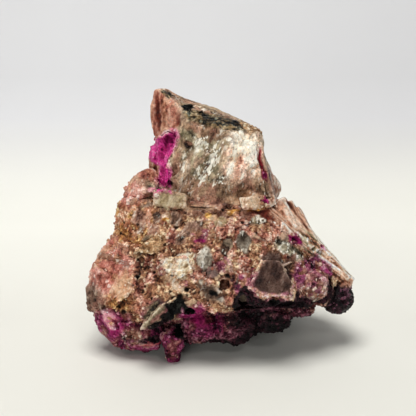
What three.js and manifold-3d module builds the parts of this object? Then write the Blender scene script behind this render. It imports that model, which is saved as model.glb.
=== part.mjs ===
// A dolomite specimen: a broken pyramid of pink dolomite matrix, full of small rhombs and pits, with one
// large crystal block standing on its bench. Druse lines the pocket beside the block and the hollow under
// the front lip, and covers the knobs and the mass below. Units are millimetres. X runs to the right, Y runs
// away from the show face, Z runs up, and the specimen rests on Z = 0.
import * as THREE from "three";
import { ConvexGeometry } from "three/addons/geometries/ConvexGeometry.js";
import { ConvexHull } from "three/addons/math/ConvexHull.js";
import { ImprovedNoise } from "three/addons/math/ImprovedNoise.js";
import { mergeVertices } from "three/addons/utils/BufferGeometryUtils.js";
import Module from "manifold-3d";

const wasm = await Module();
wasm.setup();

// ---- driving dimensions ------------------------------------------------------------------------------
const LEFT = -39.5; // outermost point of the left flank
const RIGHT = 40.5; // tip of the right slab
const BACK = 28; // rearmost point of the matrix
const CROWN_Z = 76; // top of the horn
const BENCH_Z = 46; // the bench that the crystal block stands on
const LIP_Z = 20; // the broken lip that overhangs the druse
const LIP_Y = -25.5; // how far forward the lip stands
const RHOMB_EDGE_ANGLE = 102; // degrees between the edges at a cleavage rhomb's blunt corner
const SCATTERED_RHOMBS = 19; // small rhombs that stand out of the matrix
const SCATTERED_PITS = 8; // small pits that are sunk in it
const SCATTER_FROM_Z = 7; // the scatter's lowest crystals and pits
const SCATTER_TO_Z = 44; // and its highest, below the foot of the crystal block
const CRUST_GAP = 0.35; // between a druse crust and the rock that it lines
const CRUST_THICKNESS = 0.9; // of the druse crusts, without their crystals

const noise = new ImprovedNoise();
const reseed = (seed) => THREE.MathUtils.seededRandom(seed);
const between = (low, high) => low + (high - low) * THREE.MathUtils.seededRandom();
const vector = (corner) => new THREE.Vector3(...corner);
const anyAngle = () => between(0, 2 * Math.PI);
const randomTurn = () => new THREE.Euler(anyAngle(), anyAngle(), anyAngle());

// ---- solids and geometries ---------------------------------------------------------------------------

/** A closed geometry as a solid that can be joined and cut. */
function solid(geometry) {
  const bare = geometry.clone();
  bare.deleteAttribute("normal");
  bare.deleteAttribute("uv");
  const merged = mergeVertices(bare, 1e-4);
  return new wasm.Manifold(
    new wasm.Mesh({
      numProp: 3,
      vertProperties: new Float32Array(merged.getAttribute("position").array),
      triVerts: new Uint32Array(merged.index.array),
    }),
  );
}

/** A solid as a geometry again. */
function geometryOf(body) {
  const mesh = body.getMesh();
  return new THREE.BufferGeometry()
    .setAttribute("position", new THREE.BufferAttribute(new Float32Array(mesh.vertProperties), 3))
    .setIndex(new THREE.BufferAttribute(new Uint32Array(mesh.triVerts), 1));
}

const fuse = (bodies) => bodies.reduce((whole, body) => whole.add(body));
const carve = (whole, cutters) => cutters.reduce((left, cutter) => left.subtract(cutter), whole);

/** The largest of the bodies that a cut leaves, without the crumbs that it cuts loose. */
function largest(body) {
  return body.decompose().reduce((best, piece) => (piece.volume() > best.volume() ? piece : best));
}

// ---- broken stone ------------------------------------------------------------------------------------

/** A random number from 0 to 1 that belongs to one cell of a grid. */
function cellRandom(x, y, z, salt) {
  const wave = Math.sin(12.9898 * x + 78.233 * y + 37.719 * z + 9.151 * salt) * 43758.5453;
  return wave - Math.floor(wave);
}

/** Broken crystalline stone: each cell has a flat face of its own, tilted and set in or out a little. */
function facets(point, cell, seed) {
  const p = point.clone().divideScalar(cell);
  const base = p.clone().floor();
  const site = new THREE.Vector3();
  let nearest = Infinity;
  let height = 0;
  for (let n = 0; n < 27; n++) {
    const x = base.x + (n % 3) - 1;
    const y = base.y + (Math.floor(n / 3) % 3) - 1;
    const z = base.z + Math.floor(n / 9) - 1;
    const [a, b, c, d, e, f, g] = [0, 1, 2, 3, 4, 5, 6].map((salt) => cellRandom(x, y, z, salt + 7 * seed));
    site.set(x + a, y + b, z + c);
    const distance = site.distanceToSquared(p);
    if (distance < nearest) {
      nearest = distance;
      height = 1.6 * new THREE.Vector3(d - 0.5, e - 0.5, f - 0.5).dot(p.clone().sub(site)) + g - 0.5;
    }
  }
  return height;
}

/** Uneven broken stone: flat facets over soft noise, from about -1 to 1. */
function unevenness(point, grain, seed) {
  const p = point.clone().divideScalar(grain).addScalar(seed * 7.3);
  return facets(point, grain, seed) + 0.7 * noise.noise(p.x, p.y, p.z);
}

/** A ball of about even triangles whose corners are shaken out of their regular places. */
function shakenBall(detail, seed) {
  const ball = new THREE.IcosahedronGeometry(1, detail);
  ball.deleteAttribute("normal");
  ball.deleteAttribute("uv");
  const merged = mergeVertices(ball, 1e-4);
  const position = merged.getAttribute("position");
  const shake = 0.32 / (detail + 1);
  const point = new THREE.Vector3();
  reseed(seed);
  for (let i = 0; i < position.count; i++) {
    point.fromBufferAttribute(position, i);
    point.add(vector([between(-shake, shake), between(-shake, shake), between(-shake, shake)])).normalize();
    position.setXYZ(i, point.x, point.y, point.z);
  }
  return merged;
}

/**
 * A broken lump of stone with the flat sides of the hull around its corners, blunted and uneven.
 * detail sets its number of faces, sharpness how crisp its edges stay, and relief its unevenness in mm.
 */
function boulder(corners, { detail = 5, sharpness = 24, grain = 7, relief = 0.6, seed = 1 } = {}) {
  const centre = new THREE.Vector3();
  for (const corner of corners) centre.addScaledVector(vector(corner), 1 / corners.length);
  const sides = [];
  for (const { normal, constant } of new ConvexHull().setFromPoints(corners.map(vector)).faces) {
    if (!sides.some((side) => side.normal.dot(normal) > 0.999)) sides.push({ normal, constant });
  }
  const geometry = shakenBall(detail, seed);
  const position = geometry.getAttribute("position");
  const direction = new THREE.Vector3();
  for (let i = 0; i < position.count; i++) {
    direction.fromBufferAttribute(position, i);
    let closeness = 0;
    for (const { normal, constant } of sides) {
      const lean = normal.dot(direction);
      if (lean > 1e-3) closeness += ((constant - normal.dot(centre)) / lean) ** -sharpness;
    }
    const surface = centre.clone().addScaledVector(direction, closeness ** (-1 / sharpness));
    surface.addScaledVector(direction, relief * unevenness(surface, grain, seed));
    position.setXYZ(i, surface.x, surface.y, surface.z);
  }
  return solid(geometry);
}

/** A crystal or cleavage block with flat sides, as the hull around its corners. */
const block = (corners) => solid(new ConvexGeometry(corners.map(vector)));

/**
 * A rounded lump around a place, with its own uneven surface, the same from one size to another.
 * grow adds to its radii everywhere.
 */
function lump(place, radii, { detail = 3, relief = 0.15, grain = 3, seed = 1, grow = 0 } = {}) {
  const geometry = shakenBall(detail, seed);
  const position = geometry.getAttribute("position");
  const direction = new THREE.Vector3();
  for (let i = 0; i < position.count; i++) {
    direction.fromBufferAttribute(position, i);
    const surface = direction.clone().multiply(vector(radii));
    surface.multiplyScalar(1 + relief * unevenness(surface, grain, seed));
    surface.addScaledVector(direction, grow).add(vector(place));
    position.setXYZ(i, surface.x, surface.y, surface.z);
  }
  return solid(geometry);
}

/** A cleavage rhomb of three edge lengths around a place, turned by an Euler. */
function rhomb(place, [a, b, c], turn) {
  const blunt = Math.cos(THREE.MathUtils.degToRad(RHOMB_EDGE_ANGLE));
  const spread = Math.sqrt((1 - blunt) / 1.5);
  const rise = Math.sqrt(1 - spread * spread);
  const edge = (third, length) => {
    const angle = (third * 2 * Math.PI) / 3;
    return vector([spread * Math.cos(angle), spread * Math.sin(angle), rise]).multiplyScalar(length);
  };
  const geometry = new THREE.BoxGeometry(1, 1, 1);
  geometry.applyMatrix4(new THREE.Matrix4().makeBasis(edge(0, a), edge(1, b), edge(2, c)));
  geometry.applyMatrix4(new THREE.Matrix4().makeRotationFromEuler(turn));
  geometry.translate(place.x, place.y, place.z);
  return solid(geometry);
}

/** A long splinter of a slab from one place to another, as wide and deep as given at each end. */
function splinter(from, to, [width, depth], [endWidth, endDepth]) {
  const [start, end] = [vector(from), vector(to)];
  const along = end.clone().sub(start).normalize();
  const across = new THREE.Vector3(0, 1, 0).cross(along).normalize();
  const inwards = along.clone().cross(across);
  const ring = (place, w, d) =>
    [[-1, -0.7], [-0.3, -1], [1, -0.8], [0.8, 1], [-0.9, 0.9]].map(([u, v]) =>
      place.clone().addScaledVector(across, (u * w) / 2).addScaledVector(inwards, (v * d) / 2),
    );
  return solid(new ConvexGeometry([...ring(start, width, depth), ...ring(end, endWidth, endDepth)]));
}

// ---- the crystal block and its horn ------------------------------------------------------------------
// The front face folds along a crease, so it is two planes.
const FACE_TOP_LEFT = [-9.6, -3, 70.2];
const FACE_CREASE_TOP = [0.7, -6.4, 66.6];
const FACE_TOP_RIGHT = [11.5, -3.2, 64.6];
const FACE_FOOT_LEFT = [-15, -8.3, BENCH_Z - 2];
const FACE_CREASE_FOOT = [1.9, -12, BENCH_Z];
const FACE_FOOT_RIGHT = [17, -7.9, BENCH_Z - 4];

function crystalBlock() {
  const main = block([
    FACE_TOP_LEFT, FACE_CREASE_TOP, FACE_TOP_RIGHT, FACE_FOOT_LEFT, FACE_CREASE_FOOT, FACE_FOOT_RIGHT,
    [-19, 4, 63], [-19.6, 3.6, 46], [-10, 8.5, 72], [-1.8, 10, 69.2], [8.4, 8.5, 64.8],
    [12.6, 1, 63.4], [13.6, 2, 56], [17.4, 3, 44], [-14, 15, 62], [-4, 16, 61], [8, 14, 56],
    [14, 12, 42], [-17, 15, 44], [0, 18, 44],
  ]);
  const horn = block([
    [-19.3, 5, CROWN_Z - 0.3], [-17.6, 3.6, CROWN_Z], [-15.6, 7, CROWN_Z - 0.5],
    [-20.4, 3.6, 70.5], [-20.3, 4.8, 67], [-19.4, 2.6, 62], [-17, 10, 64],
    [-12.5, -2, 70.6], FACE_TOP_LEFT, [-10.2, 8, 72.2], [-12.8, -2.6, 62], [-8, 3, 62],
  ]);
  return [main, horn];
}

/** Cleavage sheets that step the front face, each a low plate on the plane through three of its corners. */
function cleavageSheets() {
  const onPlane = ([origin, right, down], outline, thickness) => {
    const [o, r, d] = [vector(origin), vector(right), vector(down)];
    const across = r.clone().sub(o).normalize();
    const outwards = d.clone().sub(o).cross(across).normalize();
    const below = across.clone().cross(outwards).normalize();
    const at = ([u, v], height) =>
      o.clone().addScaledVector(across, u).addScaledVector(below, v).addScaledVector(outwards, height);
    const tilt = ([u]) => thickness * (0.9 + 0.06 * u);
    const corners = outline.flatMap((corner) => [at(corner, -1.5), at(corner, tilt(corner))]);
    return solid(new ConvexGeometry(corners));
  };
  const left = [FACE_TOP_LEFT, FACE_CREASE_TOP, FACE_FOOT_LEFT];
  const right = [FACE_CREASE_TOP, FACE_TOP_RIGHT, FACE_CREASE_FOOT];
  return [
    onPlane(left, [[1, 3], [6.5, 1.2], [8, 6.5], [2.8, 9]], 0.8),
    onPlane(left, [[-1.5, 12], [3.2, 9.8], [7.6, 14], [6.4, 20], [0.4, 21]], 0.9),
    onPlane(left, [[7, 8.5], [11.4, 8], [10.8, 15], [7.4, 13]], 0.7),
    onPlane(right, [[1.2, 0.8], [5.8, 1.2], [6.6, 7], [2, 8.4]], 0.7),
    onPlane(right, [[6.2, 3.2], [10.4, 2.6], [11.8, 9.2], [7.2, 11.6]], 0.9),
    onPlane(right, [[1.8, 9.4], [7.6, 10.4], [9.4, 16.2], [3.4, 18.6]], 1),
    onPlane(right, [[9.6, 11], [13.4, 10.2], [14.8, 17.6], [10.8, 18.4]], 0.8),
  ];
}

/** The crystalline band and the loose crystals along the foot of the block. */
function benchCrystals() {
  return [
    block([
      [-19, -9, 49.2], [-14, -11, 49.2], [-9.6, -11.6, 48.4], [-9, -13.4, 44.8], [-13, -13.4, 44.4],
      [-19.2, -10.6, 45], [-17, -4, 47], [-9, -6, 46],
    ]),
    block([
      [5.4, -13.2, 47.8], [11, -12, 48.4], [16.2, -8.6, 47.2], [16.6, -9, 44.4], [11.8, -12.4, 43.8],
      [6.4, -14.2, 44.6], [8, -6, 45], [15, -4, 44],
    ]),
    boulder(
      [
        [12.4, -2, 53], [15.6, 0, 52.2], [17.8, 1, 50], [19.4, 2, 46.4], [18.4, 0, 42], [13, -6, 43.4],
        [11.6, -4, 50], [12, 8, 51], [17.4, 8, 45],
      ],
      { detail: 1, sharpness: 22, relief: 0.4, grain: 4, seed: 6 },
    ),
    boulder(
      [
        [-26, -2, 50.6], [-28, -3, 47.4], [-22.4, -3, 53], [-20, 0, 53.6], [-18, -7, 48], [-22.4, -8.6, 46],
        [-27.8, -3, 42], [-27.4, 2, 44], [-18, 5, 50], [-20, 4, 43],
      ],
      { detail: 2, sharpness: 24, relief: 0.5, grain: 4, seed: 5 },
    ),
    lump([-19.2, 4.4, 54.4], [2, 3, 4.8], { detail: 1, relief: 0.12, seed: 31 }),
  ];
}

// ---- the matrix --------------------------------------------------------------------------------------

function matrixBody() {
  return boulder(
    [
      [-33, -21, 12], [-21, LIP_Y, 15], [-10, LIP_Y, 18], [6, LIP_Y - 1, LIP_Z + 2],
      [20, LIP_Y + 0.5, LIP_Z], [28, -18, 19],
      [-27.4, -8, 45.4], [-14, -12.4, BENCH_Z + 1], [2, -13.4, BENCH_Z + 0.6],
      [16, -10, BENCH_Z - 1], [22, -1, 39.4], [-29.8, -6, 39], [-34.6, -8, 30], [LEFT + 1, -10, 19],
      [-37, -8, 9], [-20, -14, 7], [0, -12, 10], [20, -10, 11], [32, -5, 26.4], [37.6, -7, 20],
      [32, 6, 12], [-27.6, 11, 38], [-9, 19, 44], [11, 15, 42], [-32, 16, 10],
      [-12, BACK, 9], [14, BACK - 2, 10], [29, 14, 10], [-33, 4, 3],
    ],
    { detail: 7, sharpness: 34, grain: 7, relief: 1.3, seed: 1 },
  );
}

/** Matrix that still clings to the back of the crystal block. */
function backButtress() {
  return boulder(
    [
      [-16, 8, 66], [-9, 12, 67], [5, 12, 62], [12, 8, 58], [16, 12, 44], [18, 18, 30], [-2, 25, 30],
      [-22, 20, 32], [-19, 14, 52], [-12, 20, 54], [4, 20, 50], [-16, 4, 40], [10, 4, 40],
    ],
    { detail: 2, sharpness: 36, grain: 6, relief: 1, seed: 19 },
  );
}

/** Large cleavage rhombs that the broken back and sides show. */
function largeRhombs() {
  return [
    [[-18.4, 16, 24], [13, 11, 9], [0.4, 0.2, 0.5]],
    [[7, 18.4, 22], [15, 10, 10], [1.2, 0.3, 0.2]],
    [[21.4, 6, 21], [11, 10, 9], [0.3, 0.8, 1.1]],
    [[-27, 3, 25], [10, 10, 8], [0.9, 0.1, 0.4]],
    [[-33.6, -12.4, 22], [8, 7, 7], [0.5, 1.2, 0.3]],
    [[-3, 19, 38], [9, 8, 7], [0.2, 0.5, 1.4]],
  ].map(([place, edges, turn]) => rhomb(vector(place), edges, new THREE.Euler(...turn)));
}

function leftFlank() {
  return [
    boulder(
      [
        [LEFT, -12, 21], [LEFT - 0.4, -13, 16], [-37.6, -10, 27], [-35, -8, 30.6], [-27, -13.6, 33],
        [-22, -17, 31], [-24, -21.6, 24], [-30, -22.4, 17], [-38, -17, 14], [-38.4, -12, 11],
        [-30, -2, 27], [-32, -4, 10],
      ],
      { detail: 3, sharpness: 34, relief: 0.9, grain: 5, seed: 2 },
    ),
    boulder(
      [
        [-38.4, -13, 11.4], [-34.8, -15, 5.6], [-30, -15, 1.8], [-36.6, -9, 14], [-30, -20, 14],
        [-26, -14, 4], [-30, -4, 6], [-34, -17.4, 13],
      ],
      { detail: 2, sharpness: 26, relief: 0.5, grain: 5, seed: 3 },
    ),
    boulder(
      [
        [-30.4, -6, 39], [-29.4, -5, 44.6], [-27, -8, 46.2], [-22, -11, 46], [-23, -14, 40],
        [-29, -11, 36.4], [-30.4, -6, 36], [-24, 2, 44], [-26, 0, 38], [-20, -8, 36],
      ],
      { detail: 2, sharpness: 28, relief: 0.6, grain: 4, seed: 4 },
    ),
  ];
}

/** The slab down the right edge: short columns at its top and long splinters down to a sharp tip. */
function rightSlab() {
  return [
    splinter([17.6, -3, 44], [24, -8, 31], [4.4, 8], [4, 6]),
    splinter([20.2, -1.6, 42.6], [27, -7, 30], [3.4, 8], [3.6, 7]),
    splinter([22.6, -1, 40.6], [29.4, -6, 29], [3, 7.4], [3.4, 7]),
    splinter([22.4, 0, 35.6], [38.6, -7, 20.4], [5, 11], [2.6, 5.4]),
    splinter([23, 3, 32.6], [35, 2, 18], [4.6, 12], [3, 9]),
    block([
      [33, -4.6, 27], [RIGHT, -8, 21], [39.8, -9, 18.8], [30, -13, 24], [26, -10, 31], [36, 0, 21],
      [30, 2, 26], [28, -4, 18], [36, -4, 17.4],
    ]),
    splinter([18.4, -10.4, 37.6], [32.4, -11.6, 23.6], [2.6, 4], [2, 4]),
  ];
}

/** Knobs of druse-covered stone that hang from the lip's right end. */
function rightKnobs() {
  return [
    lump([27.2, -15, 21.6], [4.7, 5, 4.7], { detail: 2, relief: 0.08, grain: 2, seed: 11 }),
    lump([24.6, -15.4, 17.8], [3.4, 4, 2.8], { detail: 1, relief: 0.1, grain: 2, seed: 20 }),
    lump([30.4, -10.6, 17.4], [4, 5, 3.6], { detail: 1, relief: 0.1, grain: 2, seed: 12 }),
    lump([35.4, -8, 14.9], [4.9, 5.4, 5], { detail: 2, relief: 0.07, grain: 2, seed: 13 }),
    lump([36.8, -6, 18.6], [3.4, 6, 3], { detail: 1, relief: 0.1, grain: 2, seed: 14 }),
  ];
}

// ---- the druse-covered underside ---------------------------------------------------------------------

function lowerMass() {
  return [
    boulder(
      [
        [-16, -17, 3], [-4, -15.6, 3.6], [4.6, -13, 3.2], [8, -11, 4], [14, -10, 5.6], [21.5, -9, 7],
        [27, -6, 9.4], [4, -4, -1], [8, 0, -1], [17, 16, -1], [10, 23, -1], [-16, 22, -1], [-22, 0, -1],
        [-15, -20.6, 12], [4, -19.6, 15.4], [18, -17, 15.8], [27.4, -11, 15.6], [30, 0, 16], [28, 15, 9],
        [-29, 14, 7], [-12, 27, 9], [14, 26, 9],
      ],
      { detail: 4, sharpness: 26, relief: 1.4, grain: 5, seed: 7 },
    ),
    boulder(
      [
        [-34.4, -15.5, 6.6], [-33, -20.4, 12], [-22, -24.4, 14], [-16, -22.6, 13], [-16.5, -20.4, 4.2],
        [-24, -19, 1.2], [-29.4, -15, 0.8], [-28, -8, -1], [-20, -10, -1], [-24, 4, -1], [-30, 4, 3],
        [-18, -4, 10],
      ],
      { detail: 2, sharpness: 22, relief: 1, grain: 4, seed: 8 },
    ),
    lump([3.6, -16.4, 10], [7, 4.4, 6], { detail: 1, relief: 0.16, seed: 15 }),
    lump([15.4, -14.4, 11.2], [6.6, 4.4, 4.8], { detail: 1, relief: 0.16, seed: 16 }),
    lump([-5.6, -18, 10.2], [5, 4.6, 5.6], { detail: 1, relief: 0.16, seed: 17 }),
    lump([24.4, -11.6, 13.6], [4.4, 4.4, 3.6], { detail: 1, relief: 0.2, seed: 18 }),
  ];
}

/** The druse-covered spike that reaches down to the floor at the front. */
function frontFoot() {
  return boulder(
    [
      [-17.8, -22.6, 9.4], [-14, -24.8, 10], [-9.4, -22.4, 9.6], [-13.4, -12, 10], [-16.8, -22, 5],
      [-13.6, -23.8, 4.4], [-10.6, -21.8, 5], [-13.4, -15, 4], [-15, -21.6, -0.6], [-13.4, -22.2, -0.6],
      [-11.8, -20.8, -0.6], [-13.4, -19.2, -0.6],
    ],
    { detail: 2, sharpness: 24, relief: 0.35, grain: 2.4, seed: 9 },
  );
}

/** Cleavage plates that stand out of the lip, and the tan ledge above them. */
function lipPlates() {
  return [
    block([
      [-22.6, -27.6, 13.2], [-21.6, -28, 14.8], [-15.6, -27.2, 21.4], [-12.4, -26, 22.4],
      [-9.8, -24.6, 20.4], [-13.2, -26.2, 15.8], [-19.6, -26.8, 12.8], [-20, -20, 16], [-12, -20, 20],
      [-14, -20, 15],
    ]),
    block([
      [11.4, -22.8, 32.6], [17, -22.6, 32.4], [20.6, -24.4, 25.8], [18.4, -25.6, 22.8], [11.6, -26.6, 22.8],
      [7.8, -26, 25.2], [12, -18, 30], [18, -18, 24], [10, -18, 24],
    ]),
    block([
      [-17, -20.4, 32.4], [-9, -21, 33], [-7.4, -22, 28.4], [-12, -22.8, 26.6], [-16.6, -22, 28],
      [-12, -15, 30],
    ]),
    block([
      [3.4, -25.8, 21], [-2, -26.4, 17.6], [-6, -25.4, 19.6], [-4, -20, 20], [4, -20, 23], [2, -24, 27],
      [-5, -24.2, 25],
    ]),
    boulder(
      [
        [-25, -16, 34], [-24, -17.6, 31], [-17, -19.4, 32.6], [-10, -18, 37], [-10.6, -16, 38.4],
        [-18, -16.4, 36], [-22, -12, 34], [-12, -12, 36],
      ],
      { detail: 2, sharpness: 34, relief: 0.4, grain: 3, seed: 32 },
    ),
  ];
}

// ---- crystals and pits that are scattered over the matrix --------------------------------------------

/** Where a ray meets a body, with the normal there. */
function meeting(target, from, direction) {
  const [hit] = new THREE.Raycaster(from, direction.normalize()).intersectObject(target);
  return hit ? { place: hit.point, normal: hit.face.normal } : null;
}

/** Random places on the matrix, all round it, from low down to the foot of the crystal block. */
function scatteredPlaces(target, count, seed) {
  reseed(seed);
  const outside = 3 * RIGHT;
  const places = [];
  while (places.length < count) {
    const angle = anyAngle();
    const height = between(SCATTER_FROM_Z, SCATTER_TO_Z);
    const from = vector([outside * Math.cos(angle), outside * Math.sin(angle), height]);
    const aim = vector([between(LEFT, RIGHT) * 0.6, between(-BACK, BACK) * 0.3, height]).sub(from);
    const found = meeting(target, from, aim);
    if (found) places.push(found);
  }
  return places;
}

function scatteredRhombs(target) {
  return scatteredPlaces(target, SCATTERED_RHOMBS, 33).map(({ place, normal }) => {
    const size = between(2.4, 5.4);
    const sunk = place.clone().addScaledVector(normal, -0.3 * size);
    return rhomb(sunk, [size, size * between(0.7, 1), size * between(0.6, 1)], randomTurn());
  });
}

function scatteredPits(target) {
  return scatteredPlaces(target, SCATTERED_PITS, 34).map(({ place, normal }) => {
    const size = between(1.2, 2.3);
    const pit = new THREE.OctahedronGeometry(size, 0).scale(1, between(0.6, 1), between(0.6, 1));
    pit.applyMatrix4(new THREE.Matrix4().makeRotationFromEuler(randomTurn()));
    return solid(pit.translate(...place.addScaledVector(normal, -0.2 * size).toArray()));
  });
}

// ---- hollows -----------------------------------------------------------------------------------------

// Each hollow is a row of lumps of emptiness that run into each other.
const POCKET = [
  { place: [-16.9, -5.2, 52.2], radii: [2.6, 5.6, 5], detail: 1, seed: 21, crystals: 2 },
  { place: [-17.6, -2.8, 56.4], radii: [3.4, 5.8, 3.6], detail: 1, seed: 22, crystals: 2 },
  { place: [-16.2, -2.4, 59.4], radii: [3.6, 5.6, 3.6], detail: 1, seed: 25, crystals: 2 },
  { place: [-15, -2, 61.4], radii: [3.2, 5.4, 3.2], detail: 1, seed: 26, crystals: 2 },
];
const LIP_CAVE = [
  { place: [6.4, -22.6, 21], radii: [3.2, 5.4, 3.4], detail: 1, seed: 28, crystals: 1 },
  { place: [8.6, -20.4, 18.6], radii: [7.4, 6.6, 3.5], detail: 1, seed: 23, crystals: 2 },
  { place: [18.4, -20.2, 17.2], radii: [8, 6.8, 3.7], detail: 1, seed: 24, crystals: 3 },
];
const hollow = (lumps, grow = 0) =>
  fuse(lumps.map(({ place, radii, ...shape }) => lump(place, radii, { relief: 0.08, ...shape, grow })));

/**
 * Bare holes: the groove down the block's right edge, the hole beside the lip plates, those above the left
 * foot, the slot and the round pit.
 */
const voids = () => [
  lump([16.2, -1.4, 58.4], [3.6, 8, 6.4], { detail: 1, relief: 0.06, seed: 33 }),
  lump([-8.4, -23.2, 17.8], [2, 3.4, 1.7], { detail: 0, seed: 25 }),
  lump([-29.8, -20, 11], [1.4, 2.6, 1.6], { detail: 0, seed: 26 }),
  lump([-20.6, -21.6, 6.4], [3.6, 3, 1.3], { detail: 0, seed: 27 }),
  lump([21.9, -12.6, 34.8], [2.2, 2.4, 1.2], { detail: 0, seed: 29 }),
  lump([1.2, -23.4, 25], [2, 2.2, 1.9], { detail: 1, relief: 0.06, seed: 30 }),
];

/** The druse that lines a hollow: a thin crust over the rock, set with small crystals. */
function druse(lumps, rockWithoutHollows) {
  const outside = hollow(lumps, -CRUST_GAP);
  const inside = hollow(lumps, -CRUST_GAP - CRUST_THICKNESS);
  const wall = new THREE.Mesh(geometryOf(inside), new THREE.MeshBasicMaterial({ side: THREE.DoubleSide }));
  reseed(lumps[0].seed);
  const crystals = lumps.flatMap(({ place: middle, crystals: count }) =>
    Array.from({ length: count }, () => {
      const aim = vector([between(-1, 1), between(-0.4, 1), between(-1, 1)]);
      const size = between(1.3, 2.1);
      return rhomb(meeting(wall, vector(middle), aim).place, [size, size, size], randomTurn());
    }),
  );
  const lining = fuse([outside.subtract(inside), ...crystals]);
  return largest(lining.intersect(outside).intersect(rockWithoutHollows));
}

// ---- assembly ----------------------------------------------------------------------------------------

const bareMatrix = fuse([matrixBody(), backButtress(), ...leftFlank(), ...largeRhombs()]);
const scatterTarget = new THREE.Mesh(geometryOf(bareMatrix));

const rockWithoutHollows = fuse([
  bareMatrix, ...crystalBlock(), ...cleavageSheets(), ...benchCrystals(), ...rightSlab(), ...rightKnobs(),
  ...lowerMass(), frontFoot(), ...lipPlates(), ...scatteredRhombs(scatterTarget),
]);

function rock() {
  const underFloor = solid(new THREE.BoxGeometry(200, 200, 20).translate(0, 0, -10));
  const holes = [hollow(POCKET), hollow(LIP_CAVE), ...voids(), ...scatteredPits(scatterTarget)];
  return largest(carve(rockWithoutHollows, [...holes, underFloor]));
}

function piece(name, body, color, roughness) {
  const geometry = geometryOf(body);
  geometry.computeVertexNormals();
  const mesh = new THREE.Mesh(geometry, new THREE.MeshStandardMaterial({ color, roughness, metalness: 0 }));
  mesh.name = name;
  return mesh;
}

const specimen = new THREE.Group();
specimen.name = "dolomite_specimen";
specimen.add(
  piece("dolomite_rock", rock(), 0xa8806a, 0.55),
  piece("pocket_druse", druse(POCKET, rockWithoutHollows), 0xb03a9a, 0.35),
  piece("lip_druse", druse(LIP_CAVE, rockWithoutHollows), 0x5c2a4c, 0.35),
);

// The origin is under the middle of the specimen's box.
const middle = new THREE.Box3().setFromObject(specimen).getCenter(new THREE.Vector3());
specimen.position.set(-middle.x, -middle.y, 0);

export default specimen;
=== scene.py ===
"""Dolomite specimen with cobalt-pink druse: the finish of its rock and crystals, and its studio.

Places are given in millimetres on the specimen's survey grid: X runs to the right, Y away from
the front and Z up from the table. Survey turns that grid into the frame's metres.
"""
from __future__ import annotations

import logging
import math
from collections.abc import Iterator
from contextlib import contextmanager
from dataclasses import dataclass, field
from enum import Enum
from itertools import product

import bpy
import numpy as np
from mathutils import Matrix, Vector


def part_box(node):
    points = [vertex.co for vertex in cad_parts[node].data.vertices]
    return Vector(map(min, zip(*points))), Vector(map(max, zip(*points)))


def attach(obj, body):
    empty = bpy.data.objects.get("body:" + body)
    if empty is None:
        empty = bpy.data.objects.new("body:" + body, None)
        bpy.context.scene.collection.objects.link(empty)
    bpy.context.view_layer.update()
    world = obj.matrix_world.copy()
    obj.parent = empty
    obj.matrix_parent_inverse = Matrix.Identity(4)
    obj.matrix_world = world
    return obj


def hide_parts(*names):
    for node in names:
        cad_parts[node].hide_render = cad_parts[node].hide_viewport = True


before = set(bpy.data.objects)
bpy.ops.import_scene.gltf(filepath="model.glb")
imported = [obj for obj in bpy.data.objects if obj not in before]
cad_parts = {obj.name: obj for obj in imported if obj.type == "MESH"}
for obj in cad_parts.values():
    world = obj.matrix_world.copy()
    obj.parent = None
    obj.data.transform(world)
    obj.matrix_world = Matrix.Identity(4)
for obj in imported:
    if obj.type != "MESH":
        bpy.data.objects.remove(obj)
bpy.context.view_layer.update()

LOG = logging.getLogger("dolomite")
MM = 0.001
ROCK_NODE = "dolomite_rock"
POCKET_NODE = "pocket_druse"
LIP_NODE = "lip_druse"
TINT, POLISH, SHINE, SOFT = "tint", "polish", "shine", "soft"
UP = (0.0, 0.0, 1.0)
CELL_PRIMES = (73856093, 19349663, 83492791)
SEED_PRIME = 2654435761
STIR = 0x45D9F3B
WORD = 0xFFFFFFFF


# ---------------------------------------------------------------- survey grid and random fields


@dataclass(frozen=True)
class Survey:
    """The millimetre grid of the specimen, tied to the frame by two points of the rock."""

    slab_tip_x: float = 40.5
    lip_front_y: float = -28.0

    def shift(self) -> np.ndarray:
        """Returns what is added to a survey place to get a place in the frame, in mm."""
        low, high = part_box(ROCK_NODE)
        return np.array([high.x / MM - self.slab_tip_x, low.y / MM - self.lip_front_y, 0.0])

    def to_frame(self, places: np.ndarray) -> np.ndarray:
        """Returns survey places as places in the frame, in metres."""
        return (places + self.shift()) * MM

    def from_frame(self, places: np.ndarray) -> np.ndarray:
        """Returns places in the frame, in metres, as survey places."""
        return places / MM - self.shift()

    def rock_box(self) -> list[np.ndarray]:
        """Returns the lowest and the highest corner of the rock's box."""
        return [self.from_frame(np.array(corner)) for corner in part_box(ROCK_NODE)]


SURVEY = Survey()


def hashed(cells: np.ndarray, seed: int) -> np.ndarray:
    """Draws one random number for each whole-numbered cell.

    Args:
        cells: cell numbers, three to a row.
        seed: chooses the draw.

    Returns:
        Numbers from 0 to 1, always the same for the same cell and seed.
    """
    x, y, z = (cells[..., k].astype(np.int64) * CELL_PRIMES[k] for k in range(3))
    mixed = (x ^ y ^ z ^ (seed * SEED_PRIME)) & WORD
    for _ in range(2):
        mixed = ((mixed ^ (mixed >> 16)) * STIR) & WORD
    return (mixed ^ (mixed >> 16)) / (WORD + 1.0)


def noise(places: np.ndarray, size: float, seed: int) -> np.ndarray:
    """Draws smooth noise.

    Args:
        places: survey places, three to a row.
        size: width of the noise's lumps in mm.
        seed: chooses the draw.

    Returns:
        Numbers from -1 to 1.
    """
    scaled = places / size
    cell = np.floor(scaled).astype(np.int64)
    part = scaled - cell
    part = part * part * (3 - 2 * part)
    total = np.zeros(len(places))
    for corner in product((0, 1), repeat=3):
        share = np.prod(np.where(corner, part, 1 - part), axis=1)
        total += share * hashed(cell + np.array(corner), seed)
    return 2 * total - 1


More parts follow.
